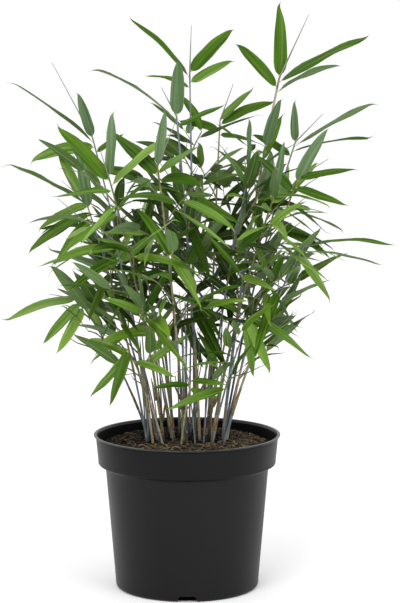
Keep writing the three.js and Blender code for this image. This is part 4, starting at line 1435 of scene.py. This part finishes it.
def add_fibre(heap, dice):
    """A curly rootlet or coir fibre that lies on the soil, in loops."""
    spot = soil_spot(dice, FIBRE.margin)
    length = dice.between(*FIBRE.length) + FIBRE.longer * dice.roll() ** 4
    steps = max(FIBRE.fewest, int(length / FIBRE.step))
    turn, curl = dice.turn(), dice.swing(FIBRE.curl)
    lift = dice.between(*FIBRE.lift) + FIBRE.higher * dice.roll() ** 5
    edge = SOIL_RADIUS - FIBRE.edge
    points = []
    place = spot.copy()
    for i in range(steps + 1):
        place = place + level(turn) * length / steps
        if hypot(place.x, place.y) > edge:
            turn += pi / 2
            place = place + level(turn) * length / steps
            place = place * min(1, edge / hypot(place.x, place.y))
        turn += curl + dice.swing(FIBRE.wander)
        height = soil_height(place.x, place.y) + FIBRE.rest + lift * sin(pi * i / steps)
        points.append(Vector((place.x, place.y, height)))
    thickness = dice.between(*FIBRE.thickness) + FIBRE.thicker * dice.roll() ** 3
    radii = [thickness * (1 - FIBRE.taper * (i / steps) ** 2) for i in range(steps + 1)]
    look = dice.pick(FIBRE.looks)
    # A fibre in the painted shade takes a darker look.
    heap.add(*rod_solid(points, radii, FIBRE.sides), SHADED_LOOK[look] if in_shade(spot) else look)


# ---- Studio: in metres and watts ----

CAMERA = Sizes(place=(0, -2.2, 0.573), tilt=0.1267, turn=-0.006, lens=131.0, sensor=36)
LIGHTS = dict(
    key=dict(place=(-0.8, -1.9, 1.8), target=(0, 0, 0.35), size=1.2, watts=26),
    fill=dict(place=(1.3, -1.5, 1.4), target=(0, 0, 0.3), size=1.2, watts=13),
)
SKY = Sizes(color=(1, 1, 1, 1), strength=1.05)
FLOOR = Sizes(half=60, color=(0.95, 0.95, 0.95, 1), roughness=0.9)


def build_floor():
    half = FLOOR.half / MM
    corners = [Vector((x * half, y * half, 0)) for x, y in ((-1, -1), (1, -1), (1, 1), (-1, 1))]
    mesh = mesh_of("floor", corners, [(0, 1, 2, 3)])
    material, _ = new_material("studio_floor", {"Base Color": FLOOR.color, "Roughness": FLOOR.roughness})
    mesh.materials.append(material)
    floor = linked("floor", mesh)


def add_light(name, place, target, size, watts):
    light = bpy.data.lights.new(name, "AREA")
    light.size, light.energy = size, watts
    lamp = linked(name, light)
    lamp.location = place
    lamp.rotation_euler = (Vector(target) - Vector(place)).to_track_quat("-Z", "Y").to_euler()


def build_studio():
    build_floor()
    world = bpy.data.worlds.new("studio")
    world.use_nodes = True
    set_inputs(world.node_tree.nodes["Background"], {"Color": SKY.color, "Strength": SKY.strength})
    bpy.context.scene.world = world
    for name, light in LIGHTS.items():
        add_light(name, **light)
    bpy.context.scene.view_settings.view_transform = "Standard"


def build_camera():
    data = bpy.data.cameras.new("camera")
    data.sensor_width, data.lens = CAMERA.sensor, CAMERA.lens
    camera = linked("camera", data)
    camera.location = CAMERA.place
    camera.rotation_euler = (pi / 2 - CAMERA.tilt, 0, CAMERA.turn)
    bpy.context.scene.camera = camera


build_plant()
build_pot()
build_soil()
build_studio()
build_camera()
